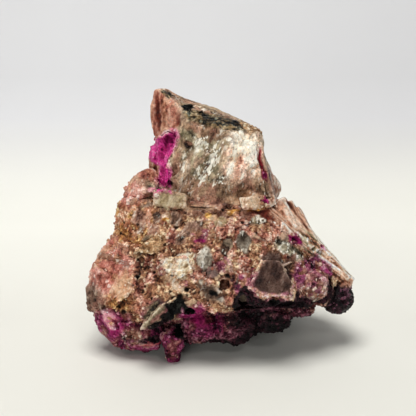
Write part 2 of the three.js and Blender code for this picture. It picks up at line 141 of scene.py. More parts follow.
def fractal(places: np.ndarray, size: float, seed: int, octaves: int = 3) -> np.ndarray:
    """Sums noise over octaves that halve in size.

    Args:
        places: survey places, three to a row.
        size: width of the widest lumps in mm.
        seed: chooses the draw.
        octaves: how many sizes of lumps are summed.

    Returns:
        Numbers from about -1 to 1.
    """
    total = np.zeros(len(places))
    for octave in range(octaves):
        total += noise(places, size / 2**octave, seed + octave) / 1.6**octave
    return total


def eased(value: np.ndarray) -> np.ndarray:
    """Returns a smooth step from 0 to 1 as value goes from 0 to 1."""
    value = np.clip(value, 0, 1)
    return value * value * (3 - 2 * value)


def along_grain(places: np.ndarray, streak: tuple[float, float, float],
                stretch: float) -> np.ndarray:
    """Squeezes places along a streak, so that noise read there is drawn out along it.

    Args:
        places: survey places, three to a row.
        streak: the way that the grain runs.
        stretch: how many times longer than wide the noise's lumps become.

    Returns:
        The squeezed places.
    """
    if stretch == 1:
        return places
    axis = np.array(streak) / np.linalg.norm(streak)
    return places - np.outer(places @ axis, axis) * (1 - 1 / stretch)


def dots(first: np.ndarray, second: np.ndarray) -> np.ndarray:
    """Returns the dot product of each pair of rows."""
    return np.einsum("ni,ni->n", first, second)


def unit(vectors: np.ndarray) -> np.ndarray:
    """Returns the vectors at length one."""
    return vectors / np.maximum(np.linalg.norm(vectors, axis=1), 1e-12)[:, None]


# ---------------------------------------------------------------- the shape of a dolomite rhomb


@dataclass(frozen=True)
class Rhomb:
    """A dolomite rhomb: six like faces, three of which meet at each end of its main axis."""

    edge_angle: float = 102.0

    def edges(self) -> np.ndarray:
        """Returns the three unit edges that meet at the blunt end, about +Z."""
        cosine = math.cos(math.radians(self.edge_angle))
        rise = math.sqrt((1 + 2 * cosine) / 3)
        around = [math.radians(120 * k) for k in range(3)]
        flat = math.sqrt(1 - rise * rise)
        return np.array([[flat * math.cos(a), flat * math.sin(a), rise] for a in around])

    def face_normals(self) -> np.ndarray:
        """Returns the unit normals of the three pairs of faces."""
        a, b, c = self.edges()
        crossed = np.array([np.cross(b, c), np.cross(c, a), np.cross(a, b)])
        return crossed / np.linalg.norm(crossed, axis=1)[:, None]


RHOMB = Rhomb()


def turns(count: int, draw: np.random.Generator) -> np.ndarray:
    """Draws random rotations.

    Args:
        count: how many.
        draw: where the random numbers come from.

    Returns:
        One 3 by 3 matrix to each rotation.
    """
    spun = draw.normal(size=(count, 4))
    w, x, y, z = (spun / np.linalg.norm(spun, axis=1)[:, None]).T
    rows = [
        [1 - 2 * (y * y + z * z), 2 * (x * y - z * w), 2 * (x * z + y * w)],
        [2 * (x * y + z * w), 1 - 2 * (x * x + z * z), 2 * (y * z - x * w)],
        [2 * (x * z - y * w), 2 * (y * z + x * w), 1 - 2 * (x * x + y * y)],
    ]
    return np.moveaxis(np.array(rows), 2, 0)


@dataclass
class Scatter:
    """Rhombs strewn through the rock, one to each cell of a grid.

    The sizes are shares of the pitch. With aligned set, all rhombs share one orientation, as
    the blocks of one crystal do.
    """

    pitch: float
    seed: int
    smallest: float = 0.28
    largest: float = 0.55
    share: float = 1.0
    aligned: np.ndarray | None = None
    aligned_spread: float = 0.3
    faces: np.ndarray = field(init=False)

    def __post_init__(self) -> None:
        """Draws the table of orientations."""
        draw = np.random.default_rng(self.seed)
        if self.aligned is None:
            self.faces = np.einsum("kj,nij->nki", RHOMB.face_normals(), turns(96, draw))
        else:
            lean = draw.normal(scale=self.aligned_spread, size=(48, 3, 3))
            leant = self.aligned[None] + lean
            self.faces = leant / np.linalg.norm(leant, axis=2)[:, :, None]

    def near(self, places: np.ndarray) -> Iterator[tuple[np.ndarray, ...]]:
        """Goes over the 27 cells about each place.

        Args:
            places: survey places, three to a row.

        Yields:
            For each cell: offset from the rhomb's middle, its face normals, its half size, its
            own random number, and whether the cell holds a rhomb.
        """
        home = np.floor(places / self.pitch).astype(np.int64)
        for step in product((-1, 0, 1), repeat=3):
            cell = home + np.array(step)
            *jitter, own, swell, pick, luck = (hashed(cell, self.seed + k) for k in range(7))
            size = self.smallest + (self.largest - self.smallest) * swell
            offset = places - (cell + np.stack(jitter, axis=1)) * self.pitch
            faces = self.faces[(pick * len(self.faces)).astype(int)]
            yield offset, faces, size * self.pitch, own, luck < self.share

    def relief(self, places: np.ndarray, outward: np.ndarray, low: float,
               high: float) -> tuple[np.ndarray, np.ndarray]:
        """Finds how far the rhombs stand out of a surface.

        Args:
            places: survey places on the surface.
            outward: the surface's unit normals there.
            low: depth in mm where no rhomb reaches.
            high: the most that a rhomb may stand out.

        Returns:
            The height over the surface at each place, and the random number of its rhomb.
        """
        height = np.full(len(places), -low)
        tone = np.full(len(places), 0.5)
        for offset, normals, half, own, held in self.near(places):
            across = np.einsum("nij,nj->ni", normals, offset)
            ahead = np.einsum("nij,nj->ni", normals, outward)
            ahead = np.where(np.abs(ahead) < 1e-6, 1e-6, ahead)
            reach = half[:, None] * np.sign(ahead)
            leaves = ((reach - across) / ahead).min(axis=1)
            enters = ((-reach - across) / ahead).max(axis=1)
            solid = held & (leaves > enters) & (enters < high * 0.5) & (leaves > height)
            height = np.where(solid, np.minimum(leaves, high), height)
            tone = np.where(solid, own, tone)
        return height, tone

    def hollows(self, places: np.ndarray) -> tuple[np.ndarray, np.ndarray]:
        """Finds the angular pits that the rhombs leave where they have fallen out.

        Args:
            places: survey places on the surface.

        Returns:
            How deep each place lies in a pit, in mm, and how near it is to a pit's rim, 0 to 1.
        """
        depth = np.zeros(len(places))
        rim = np.zeros(len(places))
        for offset, normals, half, _, held in self.near(places):
            across = np.abs(np.einsum("nij,nj->ni", normals, offset)).max(axis=1)
            away = (0.5 * across + 0.5 * np.linalg.norm(offset, axis=1)) / half
            depth = np.maximum(depth, np.where(held, np.clip(1.15 - away, 0, 0.8) * half * 1.6, 0))
            rim = np.maximum(rim, np.where(held, np.clip(1 - np.abs(away - 1.3) / 0.25, 0, 1), 0))
        return depth, rim


# ---------------------------------------------------------------- minerals and where they lie


def ramp_of(codes: str) -> np.ndarray:
    """Returns a line of rrggbb codes as display colours from 0 to 1, three numbers to a row."""
    return np.array([tuple(bytes.fromhex(code)) for code in codes.split()]) / 255


def to_linear(display: np.ndarray) -> np.ndarray:
    """Returns display colours as linear light."""
    display = np.clip(display, 0, 1)
    return np.where(display <= 0.04045, display / 12.92, ((display + 0.055) / 1.055) ** 2.4)


@dataclass(frozen=True)
class Tone:
    """Colour and surface of one mineral, from the painted shade of its hollows to its painted
    glints.

    The ramp runs from dark to bright. Where kin is given, patches of that second ramp lie in
    the first. The other values are shares and sizes that the painter hands to the sculptor.
    """

    ramp: str
    kin: str = ""
    kin_share: float = 0.42
    patch: float = 3.0
    swing: float = 1.2
    # share of crystals painted as near-white glints
    glint_flake: float = 0.0
    polish: float = 0.5
    crumble: float = 0.3
    pitting: float = 0.0
    cleavage: float = 0.0
    ribs: float = 0.0
    sugar: float = 0.0
    grain: float = 0.4
    gems: float = 0.0
    shine: float = 0.0
    soft: float = 0.0
    streak: tuple[float, float, float] = UP
    stretch: float = 1.0

    def tint(self, places: np.ndarray, level: np.ndarray) -> np.ndarray:
        """Finds the mineral's colour.

        Args:
            places: survey places.
            level: brightness there, 0 for painted shade in a hollow and 1 for a painted glint.

        Returns:
            Display colours, three numbers to a row.
        """
        colours = self.from_ramp(self.ramp, level)
        if self.kin:
            patches = fractal(along_grain(places, self.streak, self.stretch), self.patch, 71, 3)
            share = eased((patches + (self.kin_share - 0.5) * 1.6) * 2.2 + 0.5)[:, None]
            colours = colours * (1 - share) + self.from_ramp(self.kin, level) * share
        return colours

    @staticmethod
    def from_ramp(ramp: str, level: np.ndarray) -> np.ndarray:
        """Returns the ramp's colour at each level."""
        stops = ramp_of(ramp)
        marks = np.linspace(0, 1, len(stops))
        return np.stack([np.interp(level, marks, stops[:, k]) for k in range(3)], axis=1)


GEM_TINTS = ramp_of("7d6655 977e67 5c4a3f 8d7462 a38970 6f6152 "
                    "a07762 84705c 66504a 948468 946553 75604c")
DOWN_SLAB = (0.72, 0.1, -0.68)
DOWN_FACE = (-0.35, 0.0, -0.94)


class Mineral(Enum):
    """The kinds of surface that the specimen shows."""

    MATRIX = Tone("1a0c08 653c2a 9a6a4d c89a74 f4dab4", "26100f 7c4036 b0705c d69c86 fadac6",
                  patch=3.4, swing=1.25, glint_flake=0.06, polish=0.45, crumble=1.0, pitting=1.0,
                  sugar=0.5, grain=0.32, gems=1.0, shine=0.12, soft=1.0)
    OCHRE = Tone("24130a 754526 ad7342 d5a468 f6daa6", "30150f 8c4f36 bd7f5e dcaa88 f8dcc2",
                 swing=1.25, glint_flake=0.05, polish=0.45, crumble=0.9, pitting=0.9, sugar=0.5,
                 grain=0.32, gems=0.9, shine=0.1, soft=1.0)
    TAN = Tone("553720 98704c c69f76 e6c79e fdecd0", swing=1.1, glint_flake=0.06, crumble=0.6,
               pitting=0.35, sugar=1.2, grain=0.3, shine=0.2, soft=0.8)
    BROWN = Tone("0e0504 36190f 664031 906652 c4a08a", polish=0.3, crumble=0.6, pitting=0.6,
                 sugar=0.3)
    BROWN_GLASS = Tone("1d100b 5a4032 886654 b8957f f0dcc8", swing=1.8, polish=0.2, cleavage=0.4,
                       shine=0.3, soft=0.4, streak=(0.3, 0, 1), stretch=3.5)
    PINK_GLASS = Tone("44281f 8d6250 b98b74 dab9a4 fbeee2", swing=1.7, polish=0.2, cleavage=0.4,
                      shine=0.3, soft=0.4, streak=(0.3, 0, 1), stretch=3.5)
    LEFT_PINK = Tone("4b1b17 a85e50 d38c7c ecb0a0 ffe4d8", "583022 aa7053 d0987b e8bca0 ffe6d2",
                     kin_share=0.36, swing=1.1, glint_flake=0.03, polish=0.42, crumble=0.5, pitting=0.15,
                     sugar=0.5, gems=0.3, shine=0.1, soft=0.8)
    PEACH = Tone("7d4a34 bb815e d8a37e eec7a4 ffeedc", swing=0.9, polish=0.42, crumble=0.5,
                 sugar=0.4, shine=0.15)
    GREY_BROWN = Tone("20140f 5c4134 866858 a68a78 cebaa6", "281612 693e32 946858 b68c7a d8c0b0",
                      kin_share=0.4, swing=1.0, crumble=0.4, pitting=0.3, sugar=0.3, gems=0.3,
                      soft=0.8)
    TOWER = Tone("382e21 786d54 a69779 c8ba9c e9e1cb", "463128 8a6e5a b1947c cfb498 ead8c4",
                 patch=4.5, swing=1.1, polish=0.36, crumble=0.06, cleavage=1.0, shine=0.4,
                 soft=0.9, streak=DOWN_FACE, stretch=1.8)
    # paler patches of the block's face thick with painted glints
    SILVER_GLINTS = Tone("2a2016 665842 94846a bcae94 f0e8d6", "36261c 7c624e a4886e c6ae94 efe2d0",
                  kin_share=0.35, swing=1.35, polish=0.32, crumble=0.06, cleavage=1.0, shine=0.9,
                  soft=0.8, streak=DOWN_FACE, stretch=1.8)
    TOWER_FOOT = Tone("2e1e16 6b4e3a 94735a b8977a dcc8ae", "3a211c 7e5444 a57a64 c49c84 e4cab6",
                      kin_share=0.45, swing=1.0, polish=0.4, crumble=0.1, cleavage=1.0, shine=0.22,
                      soft=1.0, streak=DOWN_FACE, stretch=1.8)
    TOWER_CREAM = Tone("8e5f45 d19d7e f0c7a8 fce3ca fff9ee", "905a49 cb947d edc0a8 fadecb fff3ea",
                       patch=3.2, swing=1.25, polish=0.36, crumble=0.06, cleavage=1.0, shine=0.35,
                       soft=0.9, streak=DOWN_FACE, stretch=3.0)
    # pale cream of the block's face with painted sheen where it faces the light
    CREAM_SHEEN = Tone("efcba4 ffecd0 fff8ea fffef8 ffffff", swing=0.9, polish=0.3, crumble=0.0,
                 cleavage=0.9, shine=0.9, soft=0.5, streak=DOWN_FACE, stretch=2.0)
    HORN = Tone("4b2416 a0664e d09c80 f0c8ae ffeede", "3a160f 8c4c3e bc7a66 dea992 f6d6c0",
                patch=2.2, swing=1.5, glint_flake=0.03, polish=0.45, pitting=0.1, cleavage=0.35,
                shine=0.16, soft=0.8, streak=(0.12, 0, 1), stretch=3.2)
    HORN_RED = Tone("190504 461710 742e20 9c5740 c48c70", swing=1.0, soft=0.6, streak=(0.1, 0, 1),
                    stretch=3.0)
    RED_SEAM = Tone("240206 66121c 96242e b4565a dca09a", swing=1.1, crumble=0.0, soft=0.6)
    TOP_BAND = Tone("241c13 6c5842 9f8466 c8ac8a f0dcc0", "3a2418 86604a b58c72 d8b69c f8e4d0",
                    kin_share=0.45, patch=2.4, glint_flake=0.05, polish=0.45, crumble=0.4, pitting=0.3,
                    shine=0.3, soft=0.7, streak=(0.95, 0, -0.3), stretch=1.8)
    LICHEN = Tone("0c0806 3c2c1c 6f5a3c 957c56 cab48e", "010101 0e0e0a 23221a 46443a 7f8070",
                  patch=0.8, swing=1.6, glint_flake=0.05, crumble=0.8, pitting=0.6, soft=1.0,
                  streak=(0.95, 0, -0.3), stretch=1.4)
    BLACK = Tone("000000 010101 040404 0d0d0b 33342f", swing=1.1, glint_flake=0.02, crumble=0.9,
                 sugar=1.5, grain=0.26, soft=0.8)
    VERDIGRIS = Tone("2e5a4c 5c9483 86bba8 b2dccd", swing=1.0)
    MAGENTA = Tone("560832 ac1e6a d03a8c e062a4 f6a4cc", swing=0.9, polish=0.6, crumble=0.15,
                   sugar=2.0, grain=0.22, soft=0.4)
    DEEP_MAGENTA = Tone("1c0110 5e0834 931559 b82c76 dc6ca8", swing=0.8, polish=0.6, crumble=0.15,
                        sugar=2.0, grain=0.22, soft=0.3)
    ROSE = Tone("240916 6e2c4a ac5a7e d28ea6 f6ccd4", "2c120e 70402f a16b58 cc9c88 f4d2c2",
                patch=2.2, swing=1.15, glint_flake=0.04, polish=0.4, crumble=0.6, pitting=0.2, sugar=2.2,
                grain=0.3, shine=0.1, soft=0.9)
    PINK_RIM = Tone("b04868 f28ea6 ffb6c2 ffdadc fff6f4", swing=0.9, polish=0.42, crumble=0.4,
                    sugar=2.0, grain=0.26, shine=0.2)
    LILAC_SUGAR = Tone("3c1420 864052 b26f78 d69e9e f9d8d0", "40201a 8c5a46 bb8a6c dcb494 fae2c8",
                       kin_share=0.5, patch=2.0, swing=1.15, glint_flake=0.04, polish=0.4, crumble=0.6,
                       pitting=0.3, sugar=2.0, grain=0.3, shine=0.12, soft=0.9)
    PURPLE = Tone("020001 19050d 421422 6e3645 a06c78", "040102 20090d 481d21 744340 a07a70",
                  kin_share=0.36, patch=4.0, swing=1.5, glint_flake=0.02, polish=0.42, crumble=1.1,
                  pitting=0.5, sugar=2.2, grain=0.26, soft=1.0)
    WINE = Tone("0e0108 460a2a 7a2049 a54874 c07896", "140405 44141a 74363c a06462 cca094",
                kin_share=0.34, patch=2.6, glint_flake=0.012, polish=0.42, crumble=0.7, pitting=0.3,
                sugar=2.0, grain=0.26, soft=1.0)
    # painted shade: near-black laid in crevices, under the lip and along the table where shade
    # falls
    PAINTED_SHADE = Tone("000000 030102 0d0408 220c14 45202c", glint_flake=0.015, crumble=1.2, pitting=0.4,
                sugar=2.0, grain=0.26, soft=0.8)
    SALMON_SUGAR = Tone("200c0a 583129 87594a ba8f76 f8e4ce", "280c16 60303c 8c5262 bc8692 f6dcd8",
                        kin_share=0.34, patch=2.2, swing=1.3, glint_flake=0.06, polish=0.38, sugar=2.6,
                        grain=0.3, shine=0.15, soft=0.9)
    BALL = Tone("000000 040102 11050a 2a121b 7c5062", glint_flake=0.03, polish=0.4, sugar=2.6,
                grain=0.26, soft=0.7)
    YELLOW_GREEN = Tone("483a24 836e4b ab9672 c8b596 e8dcc4", "523820 8a6647 ac8a6b c8ac90 e6d4be",
                        kin_share=0.35, patch=1.8, swing=1.3, glint_flake=0.03, polish=0.3, crumble=0.25,
                        cleavage=0.4, shine=0.2, soft=0.3, streak=(0.2, 0, 1), stretch=3.5)
    CREAM = Tone("765136 b48664 d9b290 eed4b8 fdf4e6", swing=1.1, glint_flake=0.05, polish=0.3,
                 cleavage=0.4, shine=0.3, soft=0.3)
    STAIN = Tone("5e3008 a06420 cc8e3e e6b86c fbe2b4", swing=1.1, crumble=0.7, sugar=0.6,
                 grain=0.28, soft=1.0)
    WHITE = Tone("8a6a48 d2b48c fbecd0 fffdf4 ffffff", "7c5840 bc947a e6c6aa f8e6d2 ffffff",
                 kin_share=0.35, patch=1.8, swing=1.8, glint_flake=0.08, polish=0.3, pitting=0.1,
                 cleavage=0.5, shine=0.3, soft=0.5, streak=(0.5, 0, 1), stretch=2.2)
    GREY_STREAK = Tone("1a1510 5a5040 948870 d0c8b0 ffffff", swing=1.8, glint_flake=0.05, polish=0.24,
                       crumble=0.15, cleavage=0.4, ribs=0.6, shine=0.6, soft=0.6, streak=DOWN_SLAB,
                       stretch=5.0)
    LATH = Tone("17120c 5a4c38 94836a bca98c ece0c4", "2c1614 80524a ab7c70 caa490 ecd4c4",
                kin_share=0.35, patch=1.2, swing=1.6, polish=0.34, cleavage=0.3, ribs=0.5,
                streak=(0.68, 0, 0.73), stretch=4.0)
    GREY_UPRIGHT = Tone("342920 6e6154 9a8f80 cfc6b6 ffffff", swing=1.4, glint_flake=0.05, polish=0.24,
                        crumble=0.15, cleavage=0.4, shine=0.4, soft=0.6, streak=(0.25, 0, 1),
                        stretch=3.5)
    DARK_GLASS = Tone("0c0705 33211a 5c4638 8c7462 dcd0c4", glint_flake=0.04, polish=0.18, crumble=0.15,
                      cleavage=0.5, shine=0.15)
    PLATE = Tone("120a08 352420 513a32 735a50 c0a898", glint_flake=0.02, polish=0.3, crumble=0.0,
                 cleavage=0.3, shine=0.08, soft=0.4, streak=(0.3, 0, 1), stretch=3.5)
    LIP_RIM = Tone("42201c 8c5a4c bc8874 e2b4a0 fdeade", "42182a 8c4a5c bc7a86 e0aab0 fbe2de",
                   kin_share=0.45, patch=1.4, swing=1.3, glint_flake=0.05, polish=0.36, crumble=0.6,
                   pitting=0.2, sugar=1.6, grain=0.26, shine=0.3, soft=1.0)
    STRIPED = Tone("462416 b67e60 f4caac fff0de ffffff", "463623 a28c6a dccfae fbf4e0 ffffff",
                   kin_share=0.45, patch=1.2, swing=2.6, glint_flake=0.02, polish=0.34, crumble=0.05,
                   cleavage=0.05, ribs=0.8, shine=0.3, streak=DOWN_SLAB, stretch=12.0)
    COLUMNS = Tone("52291c ad765c e8b698 fadec8 fff8ee", swing=1.9, glint_flake=0.03, polish=0.36,
                   crumble=0.12, cleavage=0.15, ribs=0.9, shine=0.2, streak=(0.5, 0, -0.87),
                   stretch=7.0)


@dataclass(frozen=True)
class Zone:
    """An oval of the surface that one mineral fills, with a ragged edge.

    A higher square makes the oval boxier, and sink presses it in by so many mm.
    """

    mineral: Mineral
    at: tuple[float, float, float]
    reach: tuple[float, float, float]
    lean: float = 0.0
    edge: float = 0.3
    ragged: float = 1.0
    square: float = 2.0
    sink: float = 0.0

    def share(self, places: np.ndarray, warp: np.ndarray) -> np.ndarray:
        """Finds how much of each place the zone covers.

        Args:
            places: survey places.
            warp: offsets that make the edge ragged, in mm.

        Returns:
            Numbers from 0, outside, to 1, inside.
        """
        away = places + warp * self.ragged - np.array(self.at)
        slope = math.radians(self.lean)
        right = away[:, 0] * math.cos(slope) + away[:, 2] * math.sin(slope)
        rise = -away[:, 0] * math.sin(slope) + away[:, 2] * math.cos(slope)
        scaled = np.abs(np.stack([right, away[:, 1], rise], axis=1) / np.array(self.reach))
        spread = (scaled**self.square).sum(axis=1) ** (1 / self.square)
        return eased((1 + self.edge - spread) / (2 * self.edge))


@dataclass(frozen=True)
class Patch:
    """A straight-edged part of the surface, drawn as seen from the front.

    The corners are (x, z) pairs that run anticlockwise round a convex shape, and places
    further back than the given y are left alone.
    """

    mineral: Mineral
    corners: tuple[tuple[float, float], ...]
    back: float
    edge: float = 0.25
    ragged: float = 0.35
    sink: float = 0.0

    def share(self, places: np.ndarray, warp: np.ndarray) -> np.ndarray:
        """Finds how much of each place the patch covers.

        Args:
            places: survey places.
            warp: offsets that make the edge ragged, in mm.

        Returns:
            Numbers from 0, outside, to 1, inside.
        """
        spots = places + warp * self.ragged
        inside = self.back - spots[:, 1]
        for (x0, z0), (x1, z1) in zip(self.corners, self.corners[1:] + self.corners[:1]):
            run_x, run_z = x1 - x0, z1 - z0
            side = run_x * (spots[:, 2] - z0) - run_z * (spots[:, 0] - x0)
            inside = np.minimum(inside, side / math.hypot(run_x, run_z))
        return eased(0.5 + inside / (2 * self.edge))


def glassy(mineral: Mineral, at: tuple[float, float, float], reach: tuple[float, float, float],
           lean: float) -> Zone:
    """Returns the zone of one glassy crystal, which is boxy and nearly sharp at its edge."""
    return Zone(mineral, at, reach, lean, edge=0.15, ragged=0.5, square=1.1)


def tower_zones() -> list[Zone | Patch]:
    """Returns the zones of the great cleavage block, from the broad ones to the small."""
    m = Mineral
    return [
        Zone(m.TOWER, (0, 6, 63), (44, 44, 17.5), edge=0.05, ragged=1.4),
        Zone(m.TOWER_CREAM, (7.6, -6.5, 57.0), (6.6, 9, 9.2), ragged=1.4),
        # pale cream with painted sheen on the face's bright part
        Zone(m.CREAM_SHEEN, (6.4, -6.5, 62.4), (5.4, 6, 2.8), lean=-8, edge=0.4, ragged=1.6),
        Zone(m.CREAM_SHEEN, (9.2, -5.5, 61.0), (2.4, 6, 3.4), lean=-8, edge=0.5, ragged=1.6),
        # paler patches thick with painted glints
        Zone(m.SILVER_GLINTS, (-5.6, -6, 63.0), (2.8, 5, 1.5), lean=15, edge=0.4),
        Zone(m.SILVER_GLINTS, (-10.6, -7, 57.2), (1.7, 5, 3.0), lean=-10, edge=0.4),
        Zone(m.SILVER_GLINTS, (-7.0, -8, 60.6), (1.6, 5, 1.2), edge=0.5),
        Zone(m.SILVER_GLINTS, (-2.4, -8, 58.2), (2.6, 5, 2.4), lean=30, edge=0.4),
        Zone(m.SILVER_GLINTS, (-4.6, -8, 52.8), (3.2, 5, 2.6), lean=-20, edge=0.4),
        Zone(m.SILVER_GLINTS, (0.6, -8, 52.6), (1.4, 5, 1.6), edge=0.5),
        Zone(m.SILVER_GLINTS, (-1.4, -9, 49.8), (1.0, 5, 1.2), edge=0.5),
        # a thin line of pale cream with painted sheen
        Zone(m.CREAM_SHEEN, (3.6, -8, 56.0), (0.9, 5, 4.4), lean=-10, edge=0.7, ragged=1.4),
        Zone(m.HORN, (-20.5, 4, 66), (9.8, 16, 19), edge=0.08, ragged=0.7),
        Zone(m.TOWER_FOOT, (-5, -6, 65.8), (8.5, 5, 1.6), lean=-16, edge=0.5, ragged=1.2),
        Zone(m.TOWER_FOOT, (-12.4, -7, 57.0), (1.5, 5, 6.0), lean=-12, edge=0.5, ragged=0.9),
        Zone(m.HORN_RED, (-18.0, 1, 69.5), (0.8, 6, 5.0), lean=6, edge=0.6, ragged=0.5, sink=0.3),
        Zone(m.HORN_RED, (-12.6, 0, 67.5), (0.6, 5, 2.6), lean=-15, edge=0.8),
        Zone(m.BROWN, (-9.4, -6, 61.6), (1.6, 3, 0.9), lean=-35, edge=0.4, ragged=0.7),
        Zone(m.TOP_BAND, (0, 5, 69.0), (16, 8.0, 3.4), lean=-17, edge=0.15, ragged=0.8),
        Zone(m.LICHEN, (-1.4, -2.6, 68.0), (9.6, 4.6, 2.4), lean=-17, edge=0.15, ragged=0.8),
        Zone(m.BLACK, (-9.0, 1.0, 70.8), (2.6, 3, 1.3), lean=28, edge=0.2, ragged=1.3),
        Zone(m.BLACK, (-10.5, 0.4, 69.6), (0.9, 3, 0.7), edge=0.2, ragged=0.6),
        Zone(m.BLACK, (-4.6, -1.0, 68.8), (1.2, 2, 0.5), lean=-25, edge=0.5, ragged=1.2),
        Zone(m.BLACK, (3.6, -1, 66.6), (1.6, 2, 0.5), lean=-10, edge=0.5, ragged=1.2),
        Zone(m.BLACK, (-5.6, 5, 71.4), (1.4, 3, 0.5), lean=-20, ragged=0.7),
        Zone(m.VERDIGRIS, (-1.0, -0.8, 67.3), (0.4, 1.2, 0.6), ragged=0.4),
        Zone(m.LICHEN, (-14.6, 3, 74.4), (2.8, 3, 0.5), lean=-24, edge=0.4, ragged=0.7),
        Zone(m.TAN, (9.5, 0, 65.3), (4.0, 5, 1.2), lean=-20),
        Zone(m.PINK_GLASS, (17.0, -1, 49.5), (4.4, 8, 6.5), edge=0.2),
        Zone(m.RED_SEAM, (12.5, -6, 55.8), (0.7, 4.0, 5.0), lean=15, edge=0.4, ragged=0.7,
             sink=0.4),
        Zone(m.DEEP_MAGENTA, (13.3, -6.4, 52.6), (0.5, 3, 1.4), lean=16, ragged=0.3),
        Zone(m.TOWER_FOOT, (6.6, -11, 49.0), (8, 8, 3.2), edge=0.5, ragged=1.4),
        Zone(m.TOWER_FOOT, (-8, -10, 49.4), (7, 8, 2.4), edge=0.5, ragged=1.4),
    ]


def pocket_zones() -> list[Zone | Patch]:
    """Returns the zones of the cobalt pocket in the tower's left side."""
    m = Mineral
    return [
        Zone(m.BROWN, (-13.2, -7, 54.0), (1.2, 3, 1.8), ragged=0.5, sink=0.6),
        Zone(m.PINK_RIM, (-16.2, -1, 59.8), (6.9, 9, 3.0), lean=50, edge=0.08, ragged=0.5),
        Zone(m.PINK_RIM, (-15.9, -4, 51.2), (2.9, 7, 5.2), edge=0.1, ragged=0.6),
        Patch(m.MAGENTA, ((-23.0, 55.4), (-18.2, 53.4), (-15.8, 54.6), (-12.7, 61.4),
                          (-12.3, 64.2), (-13.4, 64.4), (-18.6, 61.0), (-22.5, 57.2)), 7.0),
        Patch(m.MAGENTA, ((-18.2, 48.6), (-13.9, 48.4), (-13.9, 54.0), (-17.5, 55.5)), 7.0),
        Zone(m.DEEP_MAGENTA, (-14.0, 1, 62.2), (2.6, 9, 1.5), lean=45, edge=0.5, ragged=0.4),
        Zone(m.DEEP_MAGENTA, (-16.2, -1, 49.6), (1.7, 8, 0.7), edge=0.5, ragged=0.4),
        Zone(m.PINK_RIM, (-17.6, -4, 47.8), (3.8, 8, 1.0), lean=-6, ragged=0.5),
        Zone(m.BLACK, (-14.2, -7.4, 50.4), (0.9, 3, 0.8), ragged=0.3, sink=0.6),
        Zone(m.BLACK, (-20.4, -3, 49.0), (1.4, 3, 0.5), ragged=0.3),
    ]


def bench_zones() -> list[Zone | Patch]:
    """Returns the zones of the pale crystals and stains along the tower's foot."""
    m = Mineral
    return [
        Patch(m.YELLOW_GREEN, ((-19.6, 43.9), (-10.0, 44.6), (-9.4, 47.8), (-14.0, 48.6),
                               (-19.4, 47.8)), 30.0, edge=1.0, ragged=1.5),
        Zone(m.MAGENTA, (13.4, -11.2, 46.0), (1.4, 2.2, 0.7), lean=-35, edge=0.25, ragged=0.25,
             sink=0.5),
        Zone(m.OCHRE, (-25, -9, 41), (7, 10, 7.5)),
        Zone(m.LEFT_PINK, (-25.5, -4, 46.5), (5, 8, 4.2)),
        glassy(m.PINK_GLASS, (-23.2, -12.5, 41.4), (2.8, 6, 3.8), 20),
        Zone(m.LEFT_PINK, (-20.4, -13, 42.4), (0.9, 3, 2.8), ragged=0.4),
        glassy(m.BROWN_GLASS, (-23.2, -15, 37.4), (2.0, 5, 2.8), -25),
        glassy(m.PINK_GLASS, (-19.2, -15.5, 38.4), (2.6, 6, 3.2), 35),
        Zone(m.OCHRE, (-24, -13, 35.5), (6, 6, 2.0), edge=0.4),
        Zone(m.TOWER_FOOT, (-3.5, -12.5, 45.8), (7.0, 4, 2.2), edge=0.4, ragged=1.4),
        Zone(m.BROWN, (-2, -14, 43.4), (14, 4, 0.9), edge=0.6, ragged=1.6),
        Patch(m.CREAM, ((2.0, 45.4), (4.0, 44.6), (11.6, 44.4), (12.8, 46.8), (8.8, 48.4),
                        (3.6, 48.0), (2.0, 46.8)), -3.0, edge=0.8, ragged=1.4),
        glassy(m.BROWN_GLASS, (-17.8, -14, 42.0), (2.0, 5, 2.4), -15),
        glassy(m.BROWN_GLASS, (-12.6, -14.6, 41.8), (2.4, 5, 2.5), 25),
        glassy(m.BROWN_GLASS, (-7.9, -15.8, 39.2), (3.8, 5, 2.2), 38),
        glassy(m.BROWN_GLASS, (-11.4, -17, 36.8), (1.9, 5, 2.2), -35),
        Zone(m.YELLOW_GREEN, (0.4, -15.8, 41.2), (2.0, 2.4, 1.6), edge=0.2, ragged=0.3),
        Zone(m.WHITE, (-15.2, -13.8, 42.2), (1.3, 2.4, 1.3), edge=0.2, ragged=0.3),
        Zone(m.STAIN, (-15.4, -13.8, 41.4), (1.1, 2.4, 0.5), lean=10, ragged=0.3),
        Zone(m.STAIN, (-3.4, -15.0, 42.9), (0.9, 2.4, 0.9), ragged=0.4),
        Zone(m.STAIN, (4.6, -14.4, 43.6), (2.4, 2.4, 0.4), lean=8, edge=0.4, ragged=0.5),
        Zone(m.STAIN, (10.6, -13.2, 43.9), (2.8, 2.4, 0.45), lean=4, edge=0.4, ragged=0.6),
        Zone(m.CREAM, (-1.6, -15.4, 42.3), (1.4, 2.4, 1.0), ragged=0.5),
        Zone(m.BLACK, (1.0, -14.4, 44.4), (0.8, 1.6, 0.7), edge=0.2, ragged=0.2, sink=0.5),
        Zone(m.HORN_RED, (12.6, -12, 42.8), (3.4, 5, 0.9), lean=-20, edge=0.6),
    ]


